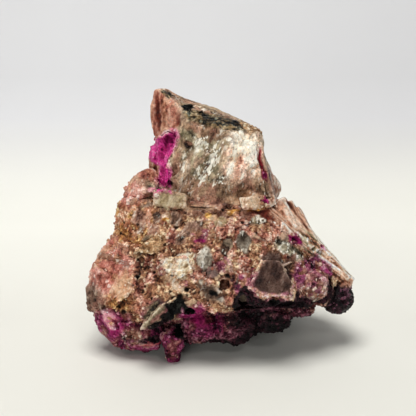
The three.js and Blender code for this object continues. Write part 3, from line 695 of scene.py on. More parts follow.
def face_zones() -> list[Zone | Patch]:
    """Returns the zones of the broad crumbling front."""
    m = Mineral
    return [
        Zone(m.LILAC_SUGAR, (-4.8, -16.6, 37.6), (2.8, 4, 2.6)),
        Zone(m.DEEP_MAGENTA, (-5.4, -17.6, 35.9), (1.6, 3, 0.5), edge=0.5, ragged=0.5),
        Zone(m.TAN, (-19.8, -18, 34.6), (5.8, 4, 1.9), lean=32, ragged=0.8),
        Patch(m.WHITE, ((-16.5, 29.6), (-14.0, 28.2), (-9.2, 28.6), (-6.8, 30.6), (-7.2, 33.0),
                        (-10.4, 32.8), (-15.4, 31.6)), -12.0, ragged=0.7),
        Patch(m.WHITE, ((-12.8, 28.8), (-11.6, 26.4), (-9.6, 26.4), (-9.0, 29.4)), -12.0,
              ragged=0.4),
        Zone(m.BLACK, (-9.0, -20, 34.6), (1.0, 2, 0.5), edge=0.4, ragged=0.3, sink=0.5),
        Zone(m.GREY_UPRIGHT, (-4.2, -19.5, 31.6), (2.6, 5.0, 4.6), lean=-8, edge=0.15, ragged=0.6,
             square=1.2),
        Zone(m.LILAC_SUGAR, (1.0, -20, 30.6), (2.6, 4, 2.2), edge=0.4),
        glassy(m.BROWN_GLASS, (1.6, -18.5, 34.0), (1.7, 5, 2.6), 15),
        # a paler patch thick with painted glints
        Zone(m.SILVER_GLINTS, (11.0, -14.6, 41.4), (1.9, 3.4, 1.0), edge=0.5, ragged=0.8),
        Zone(m.GREY_UPRIGHT, (6.8, -18, 36.0), (2.0, 5.0, 3.8), lean=14, edge=0.2, ragged=0.7,
             square=1.2),
        Zone(m.GREY_STREAK, (18.0, -15.4, 34.2), (2.6, 4, 1.7), lean=-38, edge=0.25, ragged=0.4),
        Zone(m.GREY_STREAK, (21.6, -15, 31.8), (4.2, 4, 1.5), lean=-42, edge=0.2, ragged=0.4),
        Zone(m.LILAC_SUGAR, (21.9, -12.8, 34.8), (3.2, 4, 1.5), lean=-30, edge=0.25, ragged=0.3),
        Zone(m.DEEP_MAGENTA, (21.9, -12.6, 34.9), (2.5, 4, 0.8), lean=-30, edge=0.2, ragged=0.2),
        Zone(m.DEEP_MAGENTA, (9.4, -21, 28.8), (0.7, 2, 0.6), edge=0.4, ragged=0.3),
        Zone(m.CREAM, (-12.9, -22.5, 25.6), (4.0, 4, 1.2), lean=-38, ragged=0.5),
        Zone(m.LILAC_SUGAR, (-17.0, -21, 28.4), (1.6, 3, 1.2), lean=30, ragged=0.5),
        Zone(m.LILAC_SUGAR, (-10.2, -23, 25.2), (1.4, 3, 1.0), ragged=0.5),
        Zone(m.BROWN, (1.0, -21.6, 25.6), (2.2, 3.4, 2.1), edge=0.15, ragged=0.2),
        Zone(m.DARK_GLASS, (-2.6, -24.6, 23.8), (4.4, 4, 2.2), lean=-40, edge=0.5, ragged=1.2),
        Zone(m.BLACK, (-1.8, -25, 23.4), (1.0, 4, 0.8), lean=-20, edge=0.4, ragged=0.8, sink=0.4),
        Zone(m.GREY_UPRIGHT, (0.3, -25, 21.3), (1.0, 4, 1.1), edge=0.5, square=1.2),
        Zone(m.GREY_UPRIGHT, (-4.8, -24, 26.6), (0.8, 4, 0.7), edge=0.5, square=1.2),
        Zone(m.ROSE, (6.4, -23.5, 26.0), (3.0, 5, 2.4), lean=30),
        Zone(m.LILAC_SUGAR, (14.0, -24, 24.6), (8.2, 5, 5.6), edge=0.12, ragged=0.5),
        Patch(m.LIP_RIM, ((8.2, 26.2), (8.8, 23.6), (14.4, 21.8), (19.6, 21.0), (21.4, 23.4),
                          (20.8, 24.8)), -12.0, edge=0.4, ragged=0.6),
        Patch(m.PLATE, ((9.4, 26.2), (11.0, 24.6), (16.5, 23.4), (19.6, 24.0), (20.6, 26.4),
                        (17.1, 32.6), (14.3, 33.2), (12.2, 32.4)), -12.0, edge=0.5),
        Zone(m.ROSE, (22.6, -18, 26.8), (2.2, 4, 2.4), edge=0.4),
        Zone(m.GREY_BROWN, (21.0, -17.5, 30.6), (3.6, 3, 1.0), lean=24, edge=0.4, ragged=0.4),
        # painted shade: the hollow under the plate and the lip's underside are painted near-black
        Patch(m.PAINTED_SHADE, ((3.8, 16.6), (10.0, 16.6), (10.4, 22.0), (8.8, 24.8), (7.4, 25.4),
                       (5.8, 24.4), (4.2, 22.2)), -6.0, edge=0.35),
        Patch(m.PAINTED_SHADE, ((8.0, 17.0), (24.0, 14.5), (25.0, 19.6), (21.8, 20.4), (13.4, 21.0),
                       (8.0, 21.2)), -6.0, edge=0.35, ragged=0.6),
        Patch(m.PAINTED_SHADE, ((7.4, 20.0), (13.6, 20.0), (13.0, 21.2), (10.9, 22.0), (8.8, 22.8),
                       (7.4, 23.0)), -6.0, edge=0.35),
    ]


def left_zones() -> list[Zone | Patch]:
    """Returns the zones of the left flank and the cobalt cluster under it."""
    m = Mineral
    return [
        Zone(m.LEFT_PINK, (-32.5, -12, 26.0), (9.4, 14, 8.4), edge=0.2, ragged=1.2),
        Zone(m.PEACH, (-27.6, -19.6, 23.4), (3.0, 4, 4.2), lean=-15, edge=0.4),
        Zone(m.OCHRE, (-30, -20.5, 18.2), (6.5, 5, 2.6), edge=0.4),
        Zone(m.GREY_BROWN, (-36.5, -13, 15.4), (5.4, 18, 6.4), ragged=1.4),
        Zone(m.WINE, (-29, -16, 7.4), (12, 15, 7.4), edge=0.12),
        Zone(m.DEEP_MAGENTA, (-30.6, -20.2, 11.0), (4.4, 5, 3.8), lean=-40, edge=0.4),
        Zone(m.SALMON_SUGAR, (-25.6, -20.0, 7.8), (3.6, 6, 3.2), edge=0.4),
        Zone(m.PINK_RIM, (-32.0, -19.6, 12.5), (3.4, 4, 2.7), lean=-15, ragged=0.7),
        Zone(m.PEACH, (-31.4, -19.8, 12.8), (0.9, 4, 0.7), edge=0.5, ragged=0.6),
        Zone(m.WINE, (-21.5, -20, 4.6), (4.6, 5, 1.6), lean=6, edge=0.4, ragged=0.5),
        Zone(m.RED_SEAM, (-20.5, -20, 5.2), (3.4, 5, 0.4), lean=4, edge=0.4, ragged=0.5),
        # painted shade: near-black in the crease by the foot
        Zone(m.PAINTED_SHADE, (-19.6, -20, 6.8), (4.0, 4, 1.2), ragged=0.6),
        Zone(m.LILAC_SUGAR, (-19.4, -26.5, 16.8), (6.4, 5, 3.0), lean=44, edge=0.2, ragged=0.8),
        Zone(m.LATH, (-19.0, -27.0, 17.4), (5.0, 6, 2.3), lean=47, ragged=0.9),
        Zone(m.BLACK, (-12.0, -25.6, 20.2), (3.0, 5, 1.8), lean=14, ragged=1.3, sink=0.4),
        Zone(m.BLACK, (-14.2, -26.4, 17.0), (4.2, 6, 1.6), lean=50, ragged=1.4, sink=0.4),
        # painted shade under the lath
        Zone(m.PAINTED_SHADE, (-16.8, -26.8, 14.6), (3.4, 6, 1.2), lean=20, edge=0.4, sink=0.4),
        Zone(m.BLACK, (-12.0, -21, 10.0), (3.0, 6, 1.3), lean=-48, ragged=0.9, sink=0.4),
        Zone(m.ROSE, (-7.0, -23, 16.2), (4.4, 6, 4.4), lean=-20, ragged=0.8),
        Zone(m.DEEP_MAGENTA, (-7.4, -23, 16.6), (2.2, 6, 3.2), lean=-60, edge=0.5, ragged=0.8),
        Zone(m.BLACK, (-11.2, -25, 18.2), (2.9, 6, 1.6), lean=58, ragged=1.2, sink=0.4),
        Zone(m.WINE, (-5.2, -22, 12.6), (5.0, 6, 4.2), lean=-30, edge=0.5, ragged=1.2),
        Zone(m.DEEP_MAGENTA, (-6.4, -22, 14.0), (2.8, 6, 2.2), lean=-30, edge=0.7, ragged=1.4),
        # painted shade: near-black filling the small three-sided hole
        Patch(m.BLACK, ((-10.3, 20.2), (-9.8, 16.4), (-6.0, 16.0), (-7.2, 17.9)), -18.0,
              ragged=0.4, sink=0.4),
    ]


def right_zones() -> list[Zone | Patch]:
    """Returns the zones of the slab, the knobs and the ball on the right."""
    m = Mineral
    return [
        Zone(m.COLUMNS, (19.6, -5, 41.4), (7.2, 12, 5.4), lean=-30, edge=0.2, ragged=0.9),
        Zone(m.COLUMNS, (26.0, -5, 36.0), (5.6, 12, 4.6), lean=-40, edge=0.2, ragged=0.7),
        Zone(m.STRIPED, (32.6, -6, 27.6), (12.5, 12, 3.4), lean=-42, edge=0.2, ragged=0.5),
        Zone(m.MAGENTA, (31.0, -9, 30.4), (1.2, 4, 0.5), lean=-42, ragged=0.3),
        Zone(m.ROSE, (29.0, -14.6, 26.2), (6.0, 6, 3.6), lean=-22, edge=0.2, ragged=0.7),
        Zone(m.WINE, (27.4, -15, 26.6), (3.0, 5, 1.2), lean=-25, edge=0.6, ragged=1.2),
        Zone(m.WINE, (31.6, -13.4, 25.2), (1.6, 5, 1.0), lean=-30, edge=0.6),
        Zone(m.DEEP_MAGENTA, (30.2, -14, 26.2), (1.4, 5, 0.7), lean=-30, edge=0.5, ragged=0.8),
        # painted shade: near-black round the knob's hollow, under it and in the crevices beside it
        Zone(m.PAINTED_SHADE, (27.2, -15.6, 20.6), (6.6, 9, 5.6), edge=0.08, ragged=0.3),
        Zone(m.ROSE, (26.8, -16.6, 22.6), (5.6, 9, 5.0), edge=0.1, ragged=0.3),
        Zone(m.SALMON_SUGAR, (26.6, -16.6, 21.8), (4.6, 9, 4.2), edge=0.35, ragged=0.5),
        Zone(m.LIP_RIM, (26.0, -18.8, 23.8), (2.4, 4, 1.4), edge=0.8),
        Zone(m.PAINTED_SHADE, (27.4, -18.6, 18.2), (3.6, 6, 1.2), edge=0.4, ragged=0.6),
        Zone(m.PAINTED_SHADE, (32.0, -13.6, 20.4), (1.0, 6, 3.0), lean=8, ragged=0.3),
        Zone(m.BROWN_GLASS, (28.2, -18.6, 18.2), (1.8, 3, 1.3), ragged=0.4),
        Zone(m.PAINTED_SHADE, (21.9, -21.6, 20.6), (0.9, 5, 2.2), lean=-12, ragged=0.3),
        Zone(m.BALL, (35.6, -8, 14.8), (6.2, 9, 5.6), edge=0.1, ragged=0.3),
    ]


def lower_zones() -> list[Zone | Patch]:
    """Returns the zones of the purple mass below the lip, with painted shade under the lip and
    along the table.
    """
    m = Mineral
    return [
        Zone(m.PURPLE, (0, 2, 3.4), (60, 60, 11.0), edge=0.1, ragged=1.6),
        Zone(m.PURPLE, (7, -13, 12), (22, 9.6, 7.6), edge=0.1, ragged=0.8),
        # painted shade: the lip's underside and the hollows below it are painted near-black
        Patch(m.PAINTED_SHADE, ((4.2, 17.0), (26.0, 13.6), (24.0, 21.0), (12.0, 22.2), (7.4, 25.4),
                       (4.6, 24.0), (2.6, 19.4)), 0.0, edge=0.5, ragged=1.5),
        Zone(m.PAINTED_SHADE, (8.6, -16, 15.2), (2.8, 6, 1.8), edge=0.5, ragged=1.8),
        Zone(m.PAINTED_SHADE, (16.0, -17, 13.0), (2.6, 6, 1.6), lean=-15, edge=0.5, ragged=1.8),
        Zone(m.PAINTED_SHADE, (21.6, -15, 13.2), (2.2, 6, 1.4), lean=20, edge=0.5, ragged=1.8),
        Zone(m.PAINTED_SHADE, (12.9, -18, 11.6), (2.4, 6, 1.8), edge=0.5, ragged=1.5),
        Zone(m.PAINTED_SHADE, (8.6, -18, 12.2), (4.2, 6, 3.4), lean=20, edge=0.7, ragged=1.8),
        # painted shade along the underside, down to the table
        Zone(m.PAINTED_SHADE, (-1.0, -14, 2.6), (13, 14, 4.0), lean=8),
        Patch(m.PAINTED_SHADE, ((-3.0, -1.0), (30.0, -1.0), (30.0, 11.2), (20.0, 11.3), (12.5, 11.2),
                       (7.5, 10.2), (3.0, 6.5), (-2.2, 1.0)), 30.0, edge=0.7, ragged=1.3),
        Zone(m.PURPLE, (22, -12, 14.2), (7.0, 8, 3.0), ragged=0.8),
        Zone(m.WINE, (-3.0, -20.5, 12.6), (4.4, 5, 4.2), edge=0.6, ragged=1.2),
        # painted shade where the mass meets the table
        Zone(m.PAINTED_SHADE, (4, -10, 0), (34, 20, 3.6), edge=0.4),
        Zone(m.PAINTED_SHADE, (16, -10, 5.2), (14, 14, 2.6), lean=20, edge=0.5),
        Zone(m.WINE, (-13.4, -22.6, 5.0), (3.6, 5, 6.4), edge=0.1, ragged=0.3),
    ]


@dataclass
class Painter:
    """Lays the minerals over the specimen, one zone over another.

    The numbers say how much each scale of noise, a crystal's own number and the relief add to
    the brightness of a plain spot; the relief's share paints shade into hollows and highlight
    onto ridges.
    """

    zones: list[Zone | Patch]
    ground: Mineral = Mineral.MATRIX
    plain: float = 0.47
    broad: float = 0.22
    middling: float = 0.15
    tight: float = 0.16
    own: float = 0.15
    # share of the relief in the level: painted shade in hollows, painted highlight on ridges
    relief: float = 0.22
    # brightness level of the painted glints
    glint_flake: float = 0.95
    trait_names: tuple[str, ...] = ("polish", "crumble", "pitting", "cleavage", "ribs",
                                    "sugar", "grain", "gems", "shine", "soft")

    def warp(self, places: np.ndarray) -> np.ndarray:
        """Returns the offsets, in mm, that make the zones' edges ragged."""
        broad = [noise(places, 2.6, 31 + k) for k in range(3)]
        tight = [noise(places, 0.9, 41 + k) for k in range(3)]
        return np.stack([b + 0.5 * t for b, t in zip(broad, tight)], axis=1)

    def covers(self, places: np.ndarray) -> Iterator[tuple[Zone | Patch, np.ndarray, np.ndarray]]:
        """Goes over the zones in the order in which they are laid.

        Args:
            places: survey places.

        Yields:
            For each zone: the zone, the numbers of the places that it touches, and how much of
            each of them it covers.
        """
        warp = self.warp(places)
        for zone in self.zones:
            share = zone.share(places, warp)
            some = np.flatnonzero(share > 0.002)
            if len(some):
                yield zone, some, share[some]

    def traits(self, places: np.ndarray) -> dict[str, np.ndarray]:
        """Finds each trait of the minerals, blended across zone edges.

        Args:
            places: survey places.

        Returns:
            The traits by name, and under sink how far each place is pressed in, in mm.
        """
        start = self.ground.value
        found = {name: np.full(len(places), float(getattr(start, name)))
                 for name in self.trait_names}
        found["sink"] = np.zeros(len(places))
        for zone, some, share in self.covers(places):
            found["sink"][some] += zone.sink * share
            for name in self.trait_names:
                values = found[name]
                wanted = float(getattr(zone.mineral.value, name))
                values[some] += (wanted - values[some]) * share
        return found

    def colours(self, places: np.ndarray, own: np.ndarray, relief: np.ndarray) -> np.ndarray:
        """Finds the display colour of each place.

        Args:
            places: survey places.
            own: random number of the crystal at each place, 0 to 1.
            relief: -1 in a hollow, 0 on the flat and 1 on a ridge, for painted shade and
                highlight.

        Returns:
            Display colours, three numbers to a row.
        """
        painted = self.one(self.ground.value, places, own, relief)
        for zone, some, share in self.covers(places):
            fresh = self.one(zone.mineral.value, places[some], own[some], relief[some])
            painted[some] += (fresh - painted[some]) * share[:, None]
        return painted

    def one(self, tone: Tone, places: np.ndarray, own: np.ndarray,
            relief: np.ndarray) -> np.ndarray:
        """Finds the display colours of one mineral.

        Args:
            tone: the mineral's colour and surface.
            places: survey places.
            own: random number of the crystal at each place, 0 to 1.
            relief: -1 in a hollow, 0 on the flat and 1 on a ridge, for painted shade and
                highlight.

        Returns:
            Display colours, three numbers to a row.
        """
        drawn = along_grain(places, tone.streak, tone.stretch)
        level = (self.broad * fractal(drawn, 3.8, 11, 2) + self.middling * noise(drawn, 1.7, 15)
                 + self.own * (own - 0.5) + self.tight * fractal(drawn, 0.8, 21, 2)
                 + self.relief * relief)
        level = self.plain + tone.swing * level
        # painted glints: a share of crystals is lifted to near the top of the ramp
        level = np.where(own > 1 - tone.glint_flake, np.maximum(level, self.glint_flake), level)
        return tone.tint(places, np.clip(level, 0, 1))

    @staticmethod
    def gem_colours(places: np.ndarray, own: np.ndarray, relief: np.ndarray) -> np.ndarray:
        """Finds the display colours of the larger glassy grains, each with its own tint.

        Args:
            places: survey places.
            own: random number of the grain at each place, 0 to 1.
            relief: -1 in a hollow, 0 on the flat and 1 on a ridge, for painted shade and
                highlight.

        Returns:
            Display colours, three numbers to a row.
        """
        picked = GEM_TINTS[np.minimum((own * len(GEM_TINTS)).astype(int), len(GEM_TINTS) - 1)]
        drawn = along_grain(places, (0.4, 0.3, 0.87), 3.0)
        # the relief paints shade into each grain's hollows and highlight onto its ridges
        shade = 1 + 0.42 * fractal(drawn, 0.9, 91, 3) + 0.3 * relief
        return np.clip(picked * shade[:, None], 0, 1)


# ---------------------------------------------------------------- mesh work


@contextmanager
def editing(piece: bpy.types.Object, action: str = "SELECT") -> Iterator[None]:
    """Opens one object in edit mode, with all of it selected or, on request, left as it was.

    Args:
        piece: the object.
        action: what is done to the selection, or an empty string for nothing.
    """
    select_only(piece)
    bpy.ops.object.mode_set(mode="EDIT")
    if action:
        bpy.ops.mesh.select_all(action=action)
    yield
    bpy.ops.object.mode_set(mode="OBJECT")


def select_only(piece: bpy.types.Object) -> None:
    """Selects one object and makes it active."""
    bpy.ops.object.select_all(action="DESELECT")
    piece.select_set(True)
    bpy.context.view_layer.objects.active = piece


def put_up(name: str, data: bpy.types.ID) -> bpy.types.Object:
    """Returns a new object in the scene that shows the given mesh, light or camera."""
    made = bpy.data.objects.new(name, data)
    bpy.context.scene.collection.objects.link(made)
    return made


def copy_of_node(node: str, name: str) -> bpy.types.Object:
    """Copies a node's mesh, merged and without its material.

    Args:
        node: name of the node.
        name: name of the new object.

    Returns:
        The new object.
    """
    piece = put_up(name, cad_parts[node].data.copy())
    piece.data.materials.clear()
    with editing(piece):
        bpy.ops.mesh.remove_doubles(threshold=1e-6)
    return piece


def remesh(piece: bpy.types.Object, grain: float) -> None:
    """Covers a piece with an even mesh.

    Args:
        piece: the piece.
        grain: width of the mesh's faces in mm.
    """
    select_only(piece)
    modifier = piece.modifiers.new("Remesh", "REMESH")
    modifier.mode = "VOXEL"
    modifier.voxel_size = grain * MM
    bpy.ops.object.modifier_apply(modifier=modifier.name)


def read(items: bpy.types.bpy_prop_collection, name: str, kind: type = float,
         wide: int = 1) -> np.ndarray:
    """Reads one property of every item of a mesh.

    Args:
        items: the mesh's vertices, edges, faces or corners.
        name: the property.
        kind: type of its numbers.
        wide: how many numbers each item has.

    Returns:
        The numbers, in rows of that width where it is more than one.
    """
    flat = np.empty(len(items) * wide, dtype=kind)
    items.foreach_get(name, flat)
    return flat.reshape(-1, wide) if wide > 1 else flat


def read_places(mesh: bpy.types.Mesh) -> np.ndarray:
    """Returns the mesh's vertices as survey places."""
    return SURVEY.from_frame(read(mesh.vertices, "co", wide=3))


def read_normals(mesh: bpy.types.Mesh) -> np.ndarray:
    """Returns the mesh's vertex normals."""
    return read(mesh.vertex_normals, "vector", wide=3)


def read_edges(mesh: bpy.types.Mesh) -> np.ndarray:
    """Returns the vertex numbers of the mesh's edges, two to a row."""
    return read(mesh.edges, "vertices", np.int32, 2)


def write_places(mesh: bpy.types.Mesh, places: np.ndarray) -> None:
    """Moves the mesh's vertices to survey places."""
    mesh.vertices.foreach_set("co", SURVEY.to_frame(places).ravel())
    mesh.update()


def blurred(values: np.ndarray, edges: np.ndarray, rounds: int) -> np.ndarray:
    """Averages each vertex's values with those of its neighbours.

    Args:
        values: one row to each vertex.
        edges: vertex numbers of the edges, two to a row.
        rounds: how many times they are averaged.

    Returns:
        The averaged rows.
    """
    count = np.bincount(edges.ravel(), minlength=len(values))[:, None] + 1.0
    for _ in range(rounds):
        total = values.copy()
        for k in range(values.shape[1]):
            total[:, k] += np.bincount(edges[:, 0], values[edges[:, 1], k], len(values))
            total[:, k] += np.bincount(edges[:, 1], values[edges[:, 0], k], len(values))
        values = total / count
    return values


def store_finish(mesh: bpy.types.Mesh, display: np.ndarray, **shares: np.ndarray) -> None:
    """Keeps what the materials read at each vertex.

    Args:
        mesh: the mesh that carries it.
        display: display colours, three numbers to a row.
        shares: roughness under polish, and shares of painted glints and threads under shine and
            soft, which are 0 where they aren't given.
    """
    tint = mesh.attributes.new(TINT, "FLOAT_COLOR", "POINT")
    rows = np.concatenate([to_linear(display), np.ones((len(display), 1))], axis=1)
    tint.data.foreach_set("color", rows.ravel())
    for name in (POLISH, SHINE, SOFT):
        share = mesh.attributes.new(name, "FLOAT", "POINT")
        share.data.foreach_set("value", shares.get(name, np.zeros(len(display))))


def settle(piece: bpy.types.Object, material: bpy.types.Material, node: str) -> None:
    """Gives a piece its finish and its place on the specimen.

    Args:
        piece: the piece.
        material: the finish that it shows.
        node: the node that it stands for.
    """
    piece.data.materials.clear()
    piece.data.materials.append(material)
    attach(piece, "root")
    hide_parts(node)
    piece.data.calc_loop_triangles()
    LOG.info("%s: %d triangles", piece.name, len(piece.data.loop_triangles))


# ---------------------------------------------------------------- materials


Socket = bpy.types.NodeSocket
Number = Socket | float
Triple = Socket | tuple[float, ...]


@dataclass
class Shader:
    """A material's node tree, built one node at a time."""

    name: str
    material: bpy.types.Material = field(init=False)

    def __post_init__(self) -> None:
        """Makes the empty material with its surface node."""
        self.material = bpy.data.materials.new(self.name)
        self.material.use_nodes = True
        self.tree = self.material.node_tree
        self.tree.nodes.clear()
        self.surface = self.tree.nodes.new("ShaderNodeBsdfPrincipled")
        out = self.tree.nodes.new("ShaderNodeOutputMaterial")
        self.tree.links.new(self.surface.outputs["BSDF"], out.inputs["Surface"])

    def add(self, kind: str, inputs: dict[int | str, Number | Triple],
            **settings: str) -> bpy.types.Node:
        """Adds a node.

        Args:
            kind: the node's type, without its first part.
            inputs: what its inputs are fed with, by number or name.
            settings: its own settings.

        Returns:
            The node.
        """
        node = self.tree.nodes.new("ShaderNode" + kind)
        for name, value in settings.items():
            setattr(node, name, value)
        for key, value in inputs.items():
            self.feed(value, node.inputs[key])
        return node

    def set(self, **values: Number | Triple) -> None:
        """Feeds the surface's inputs, which are named with underscores for spaces."""
        for name, value in values.items():
            self.feed(value, self.surface.inputs[name.replace("_", " ")])

    def feed(self, source: Number | Triple, target: Socket) -> None:
        """Links a socket to the target, or sets the target to a plain value."""
        if isinstance(source, Socket):
            self.tree.links.new(source, target)
        else:
            target.default_value = source

    def maths(self, operation: str, first: Number, *others: Number) -> Socket:
        """Returns the outcome of an operation on numbers, worked from left to right."""
        for other in others:
            node = self.add("Math", {0: first, 1: other}, operation=operation)
            first = node.outputs[0]
        return first

    def vector(self, operation: str, first: Triple, second: Triple,
               output: str = "Vector") -> Socket:
        """Returns the outcome of an operation on two vectors."""
        node = self.add("VectorMath", {0: first, 1: second}, operation=operation)
        return node.outputs[output]

    def scaled(self, vector: Triple, by: Number) -> Socket:
        """Returns a vector or colour times a number."""
        return self.add("VectorMath", {0: vector, "Scale": by}, operation="SCALE").outputs[0]

    def ranged(self, value: Socket, low: float, high: float, to_low: float,
               to_high: float) -> Socket:
        """Returns a value moved from one range to another, held at its ends."""
        ends = {0: value, 1: low, 2: high, 3: to_low, 4: to_high}
        return self.add("MapRange", ends).outputs[0]

    def attribute(self, name: str, output: str = "Fac") -> Socket:
        """Returns an output of one of the mesh's attributes."""
        return self.add("Attribute", {}, attribute_name=name).outputs[output]

    def places(self) -> Socket:
        """Returns the places on the object, in metres."""
        return self.add("TexCoord", {}).outputs["Object"]

    def split(self, colour: Socket) -> list[Socket]:
        """Returns the three numbers of a colour."""
        return list(self.add("SeparateColor", {0: colour}).outputs)

    def mixed(self, share: Socket, first: Triple, second: Triple) -> Socket:
        """Returns the first colour where the share is 0 and the second where it is 1."""
        return self.add("Mix", {0: share, 6: first, 7: second}, data_type="RGBA").outputs[2]

    def cloud(self, places: Socket, size: float, detail: float) -> Socket:
        """Returns smooth noise, mostly 0.3 to 0.7, with lumps about size metres across."""
        inputs = {"Scale": 1 / size, "Detail": detail, "Vector": places}
        return self.add("TexNoise", inputs).outputs["Fac"]

    def cells(self, places: Socket, size: float) -> bpy.types.Node:
        """Returns a node that splits space into random cells about size metres across."""
        return self.add("TexVoronoi", {"Scale": 1 / size, "Vector": places}, feature="F1")

    def facets(self, size: float) -> tuple[Socket, Socket]:
        """Breaks the surface into small flat facets, each tilted its own way.

        Args:
            size: width of a facet in metres.

        Returns:
            The facets' height in metres, and a random number for each.
        """
        places = self.places()
        cells = self.cells(places, size)
        tilt = self.vector("SUBTRACT", cells.outputs["Color"], (0.5, 0.5, 0.5))
        away = self.vector("SUBTRACT", places, cells.outputs["Position"])
        height = self.vector("DOT_PRODUCT", tilt, away, "Value")
        return height, self.split(cells.outputs["Color"])[0]

    def drawn(self, run: float) -> Socket:
        """Presses the places down the face, so that a pattern on them runs that way.

        Args:
            run: how many times longer than wide the pattern's marks become.

        Returns:
            The pressed places.
        """
        axis = tuple(np.array(DOWN_FACE) / np.linalg.norm(DOWN_FACE))
        places = self.places()
        along = self.vector("DOT_PRODUCT", places, axis, "Value")
        pull = self.scaled(axis, self.maths("MULTIPLY", along, 1 / run - 1))
        return self.vector("ADD", places, pull)

    def glint_flakes(self, size: float, run: float, cluster: float) -> Socket:
        """Finds the painted glints: angular near-white chips down the face, gathered in clusters.

        Args:
            size: width of a glint in metres.
            run: how many times longer than wide a glint is.
            cluster: width of a cluster of glints in metres.

        Returns:
            0 beside the glints and up to 1 on them, with none where the mesh's share of shine
            is 0.
        """
        places = self.drawn(run)
        own, other, _ = self.split(self.cells(places, size).outputs["Color"])
        shine = self.attribute(SHINE)
        gathered = self.maths("MULTIPLY", self.cloud(places, cluster, 2.0), 1.5)
        total = self.maths("ADD", own, gathered, self.maths("MULTIPLY", shine, 0.55))
        return self.maths("MULTIPLY", self.ranged(total, 1.88, 2.0, 0.0, 1.0),
                          self.ranged(other, 0.0, 1.0, 0.2, 1.0),
                          self.ranged(shine, 0.0, 0.45, 0.0, 1.0))

    def threads(self, size: float) -> Socket:
        """Finds the crumb of the matrix: thin crooked pale threads and small dark gaps.

        Args:
            size: width of the mesh of threads in metres.

        Returns:
            1 on a thread, 0 between the threads and -1 in a gap.
        """
        places = self.places()
        away = self.maths("SUBTRACT", self.cloud(places, size, 2.0), 0.5)
        thread = self.ranged(self.maths("ABSOLUTE", away, 0.0), 0.0, 0.055, 1.0, 0.0)
        gap = self.ranged(self.cloud(places, 0.62 * size, 2.0), 0.34, 0.45, 1.0, 0.0)
        return self.maths("SUBTRACT", thread, gap)

    def dent(self, height: Socket, strength: float) -> None:
        """Lets a height in metres tilt the surface."""
        bump = self.add("Bump", {"Strength": strength, "Distance": 1.0, "Height": height})
        self.set(Normal=bump.outputs[0])


@dataclass(frozen=True)
class StoneFinish:
    """Broken dolomite: tinted by its minerals, with small facets that catch the light and painted
    glints.
    """

    name: str = "broken_dolomite"
    facet: float = 0.55 * MM
    fine_facet: float = 0.24 * MM
    facet_tilt: float = 0.55
    grain: float = 0.16 * MM
    # painted glints: their sizes, stretch, clusters and colour
    glint_flake: float = 0.72 * MM
    fine_glint_flake: float = 0.4 * MM
    flake_run: float = 2.3
    glint_cluster: float = 2.4 * MM
    feather: float = 0.75 * MM
    feather_depth: float = 0.4
    glint_tint: tuple[float, ...] = (1.0, 0.96, 0.84, 1.0)
    thread: float = 1.7 * MM
    fine_thread: float = 0.8 * MM
    crumb: float = 0.30
    shade: float = 0.26
    level: float = 0.85
    sheen_level: float = 0.09
    roughness_spread: float = 0.4
    glow: float = 0.06
    glow_radius: tuple[float, float, float] = (1.0, 0.5, 0.42)
    glow_depth: float = 0.5 * MM

    def material(self) -> bpy.types.Material:
        """Makes the finish's nodes: facets and dust, then threads, feathers and painted glints.

        Returns:
            The material.
        """
        made = Shader(self.name)
        broad, broad_own = made.facets(self.facet)
        fine, fine_own = made.facets(self.fine_facet)
        made.dent(made.maths("ADD", broad, fine), self.facet_tilt)
        dust = made.cloud(made.places(), self.grain, 3.0)
        bright = made.ranged(made.maths("ADD", broad_own, fine_own, dust), 0.5, 2.5,
                             self.level - self.shade, self.level + self.shade)
        crumb = made.maths("ADD", made.threads(self.thread), made.threads(self.fine_thread))
        crumb = made.maths("MULTIPLY", crumb, made.attribute(SOFT), self.crumb)
        feathers = made.ranged(made.cloud(made.drawn(self.flake_run), self.feather, 3.0),
                               0.36, 0.64, -self.feather_depth, self.feather_depth)
        feathers = made.maths("MULTIPLY", feathers, made.attribute(SHINE))
        tint = made.scaled(made.attribute(TINT, "Color"),
                           made.maths("ADD", bright, crumb, feathers))
        # painted glints: near-white chips mixed into the colour where the mesh's shine allows
        glinting = made.maths("MAXIMUM", *(made.glint_flakes(size, self.flake_run, self.glint_cluster)
                                        for size in (self.glint_flake, self.fine_glint_flake)))
        spread = made.ranged(fine_own, 0, 1, -self.roughness_spread / 2, self.roughness_spread / 2)
        rough = made.maths("ADD", made.attribute(POLISH), spread)
        made.set(Base_Color=made.mixed(glinting, tint, self.glint_tint),
                 Roughness=made.ranged(rough, 0.06, 0.9, 0.06, 0.9),
                 IOR=1.68,
                 Specular_IOR_Level=self.sheen_level,
                 Subsurface_Weight=self.glow,
                 Subsurface_Radius=self.glow_radius,
                 Subsurface_Scale=self.glow_depth)
        return made.material


# ---------------------------------------------------------------- the rock


@dataclass
class Carving:
    """What the sculpting leaves for the colours of a slice, one row or number to each vertex.

    Places are those before the sculpting. Own and gem_own are the random numbers of the
    crystals, and the rest are shares from 0 to 1, but for the pits' depth in mm.
    """

    places: np.ndarray
    own: np.ndarray
    gem: np.ndarray
    gem_own: np.ndarray
    pit: np.ndarray
    rim: np.ndarray
    vein: np.ndarray


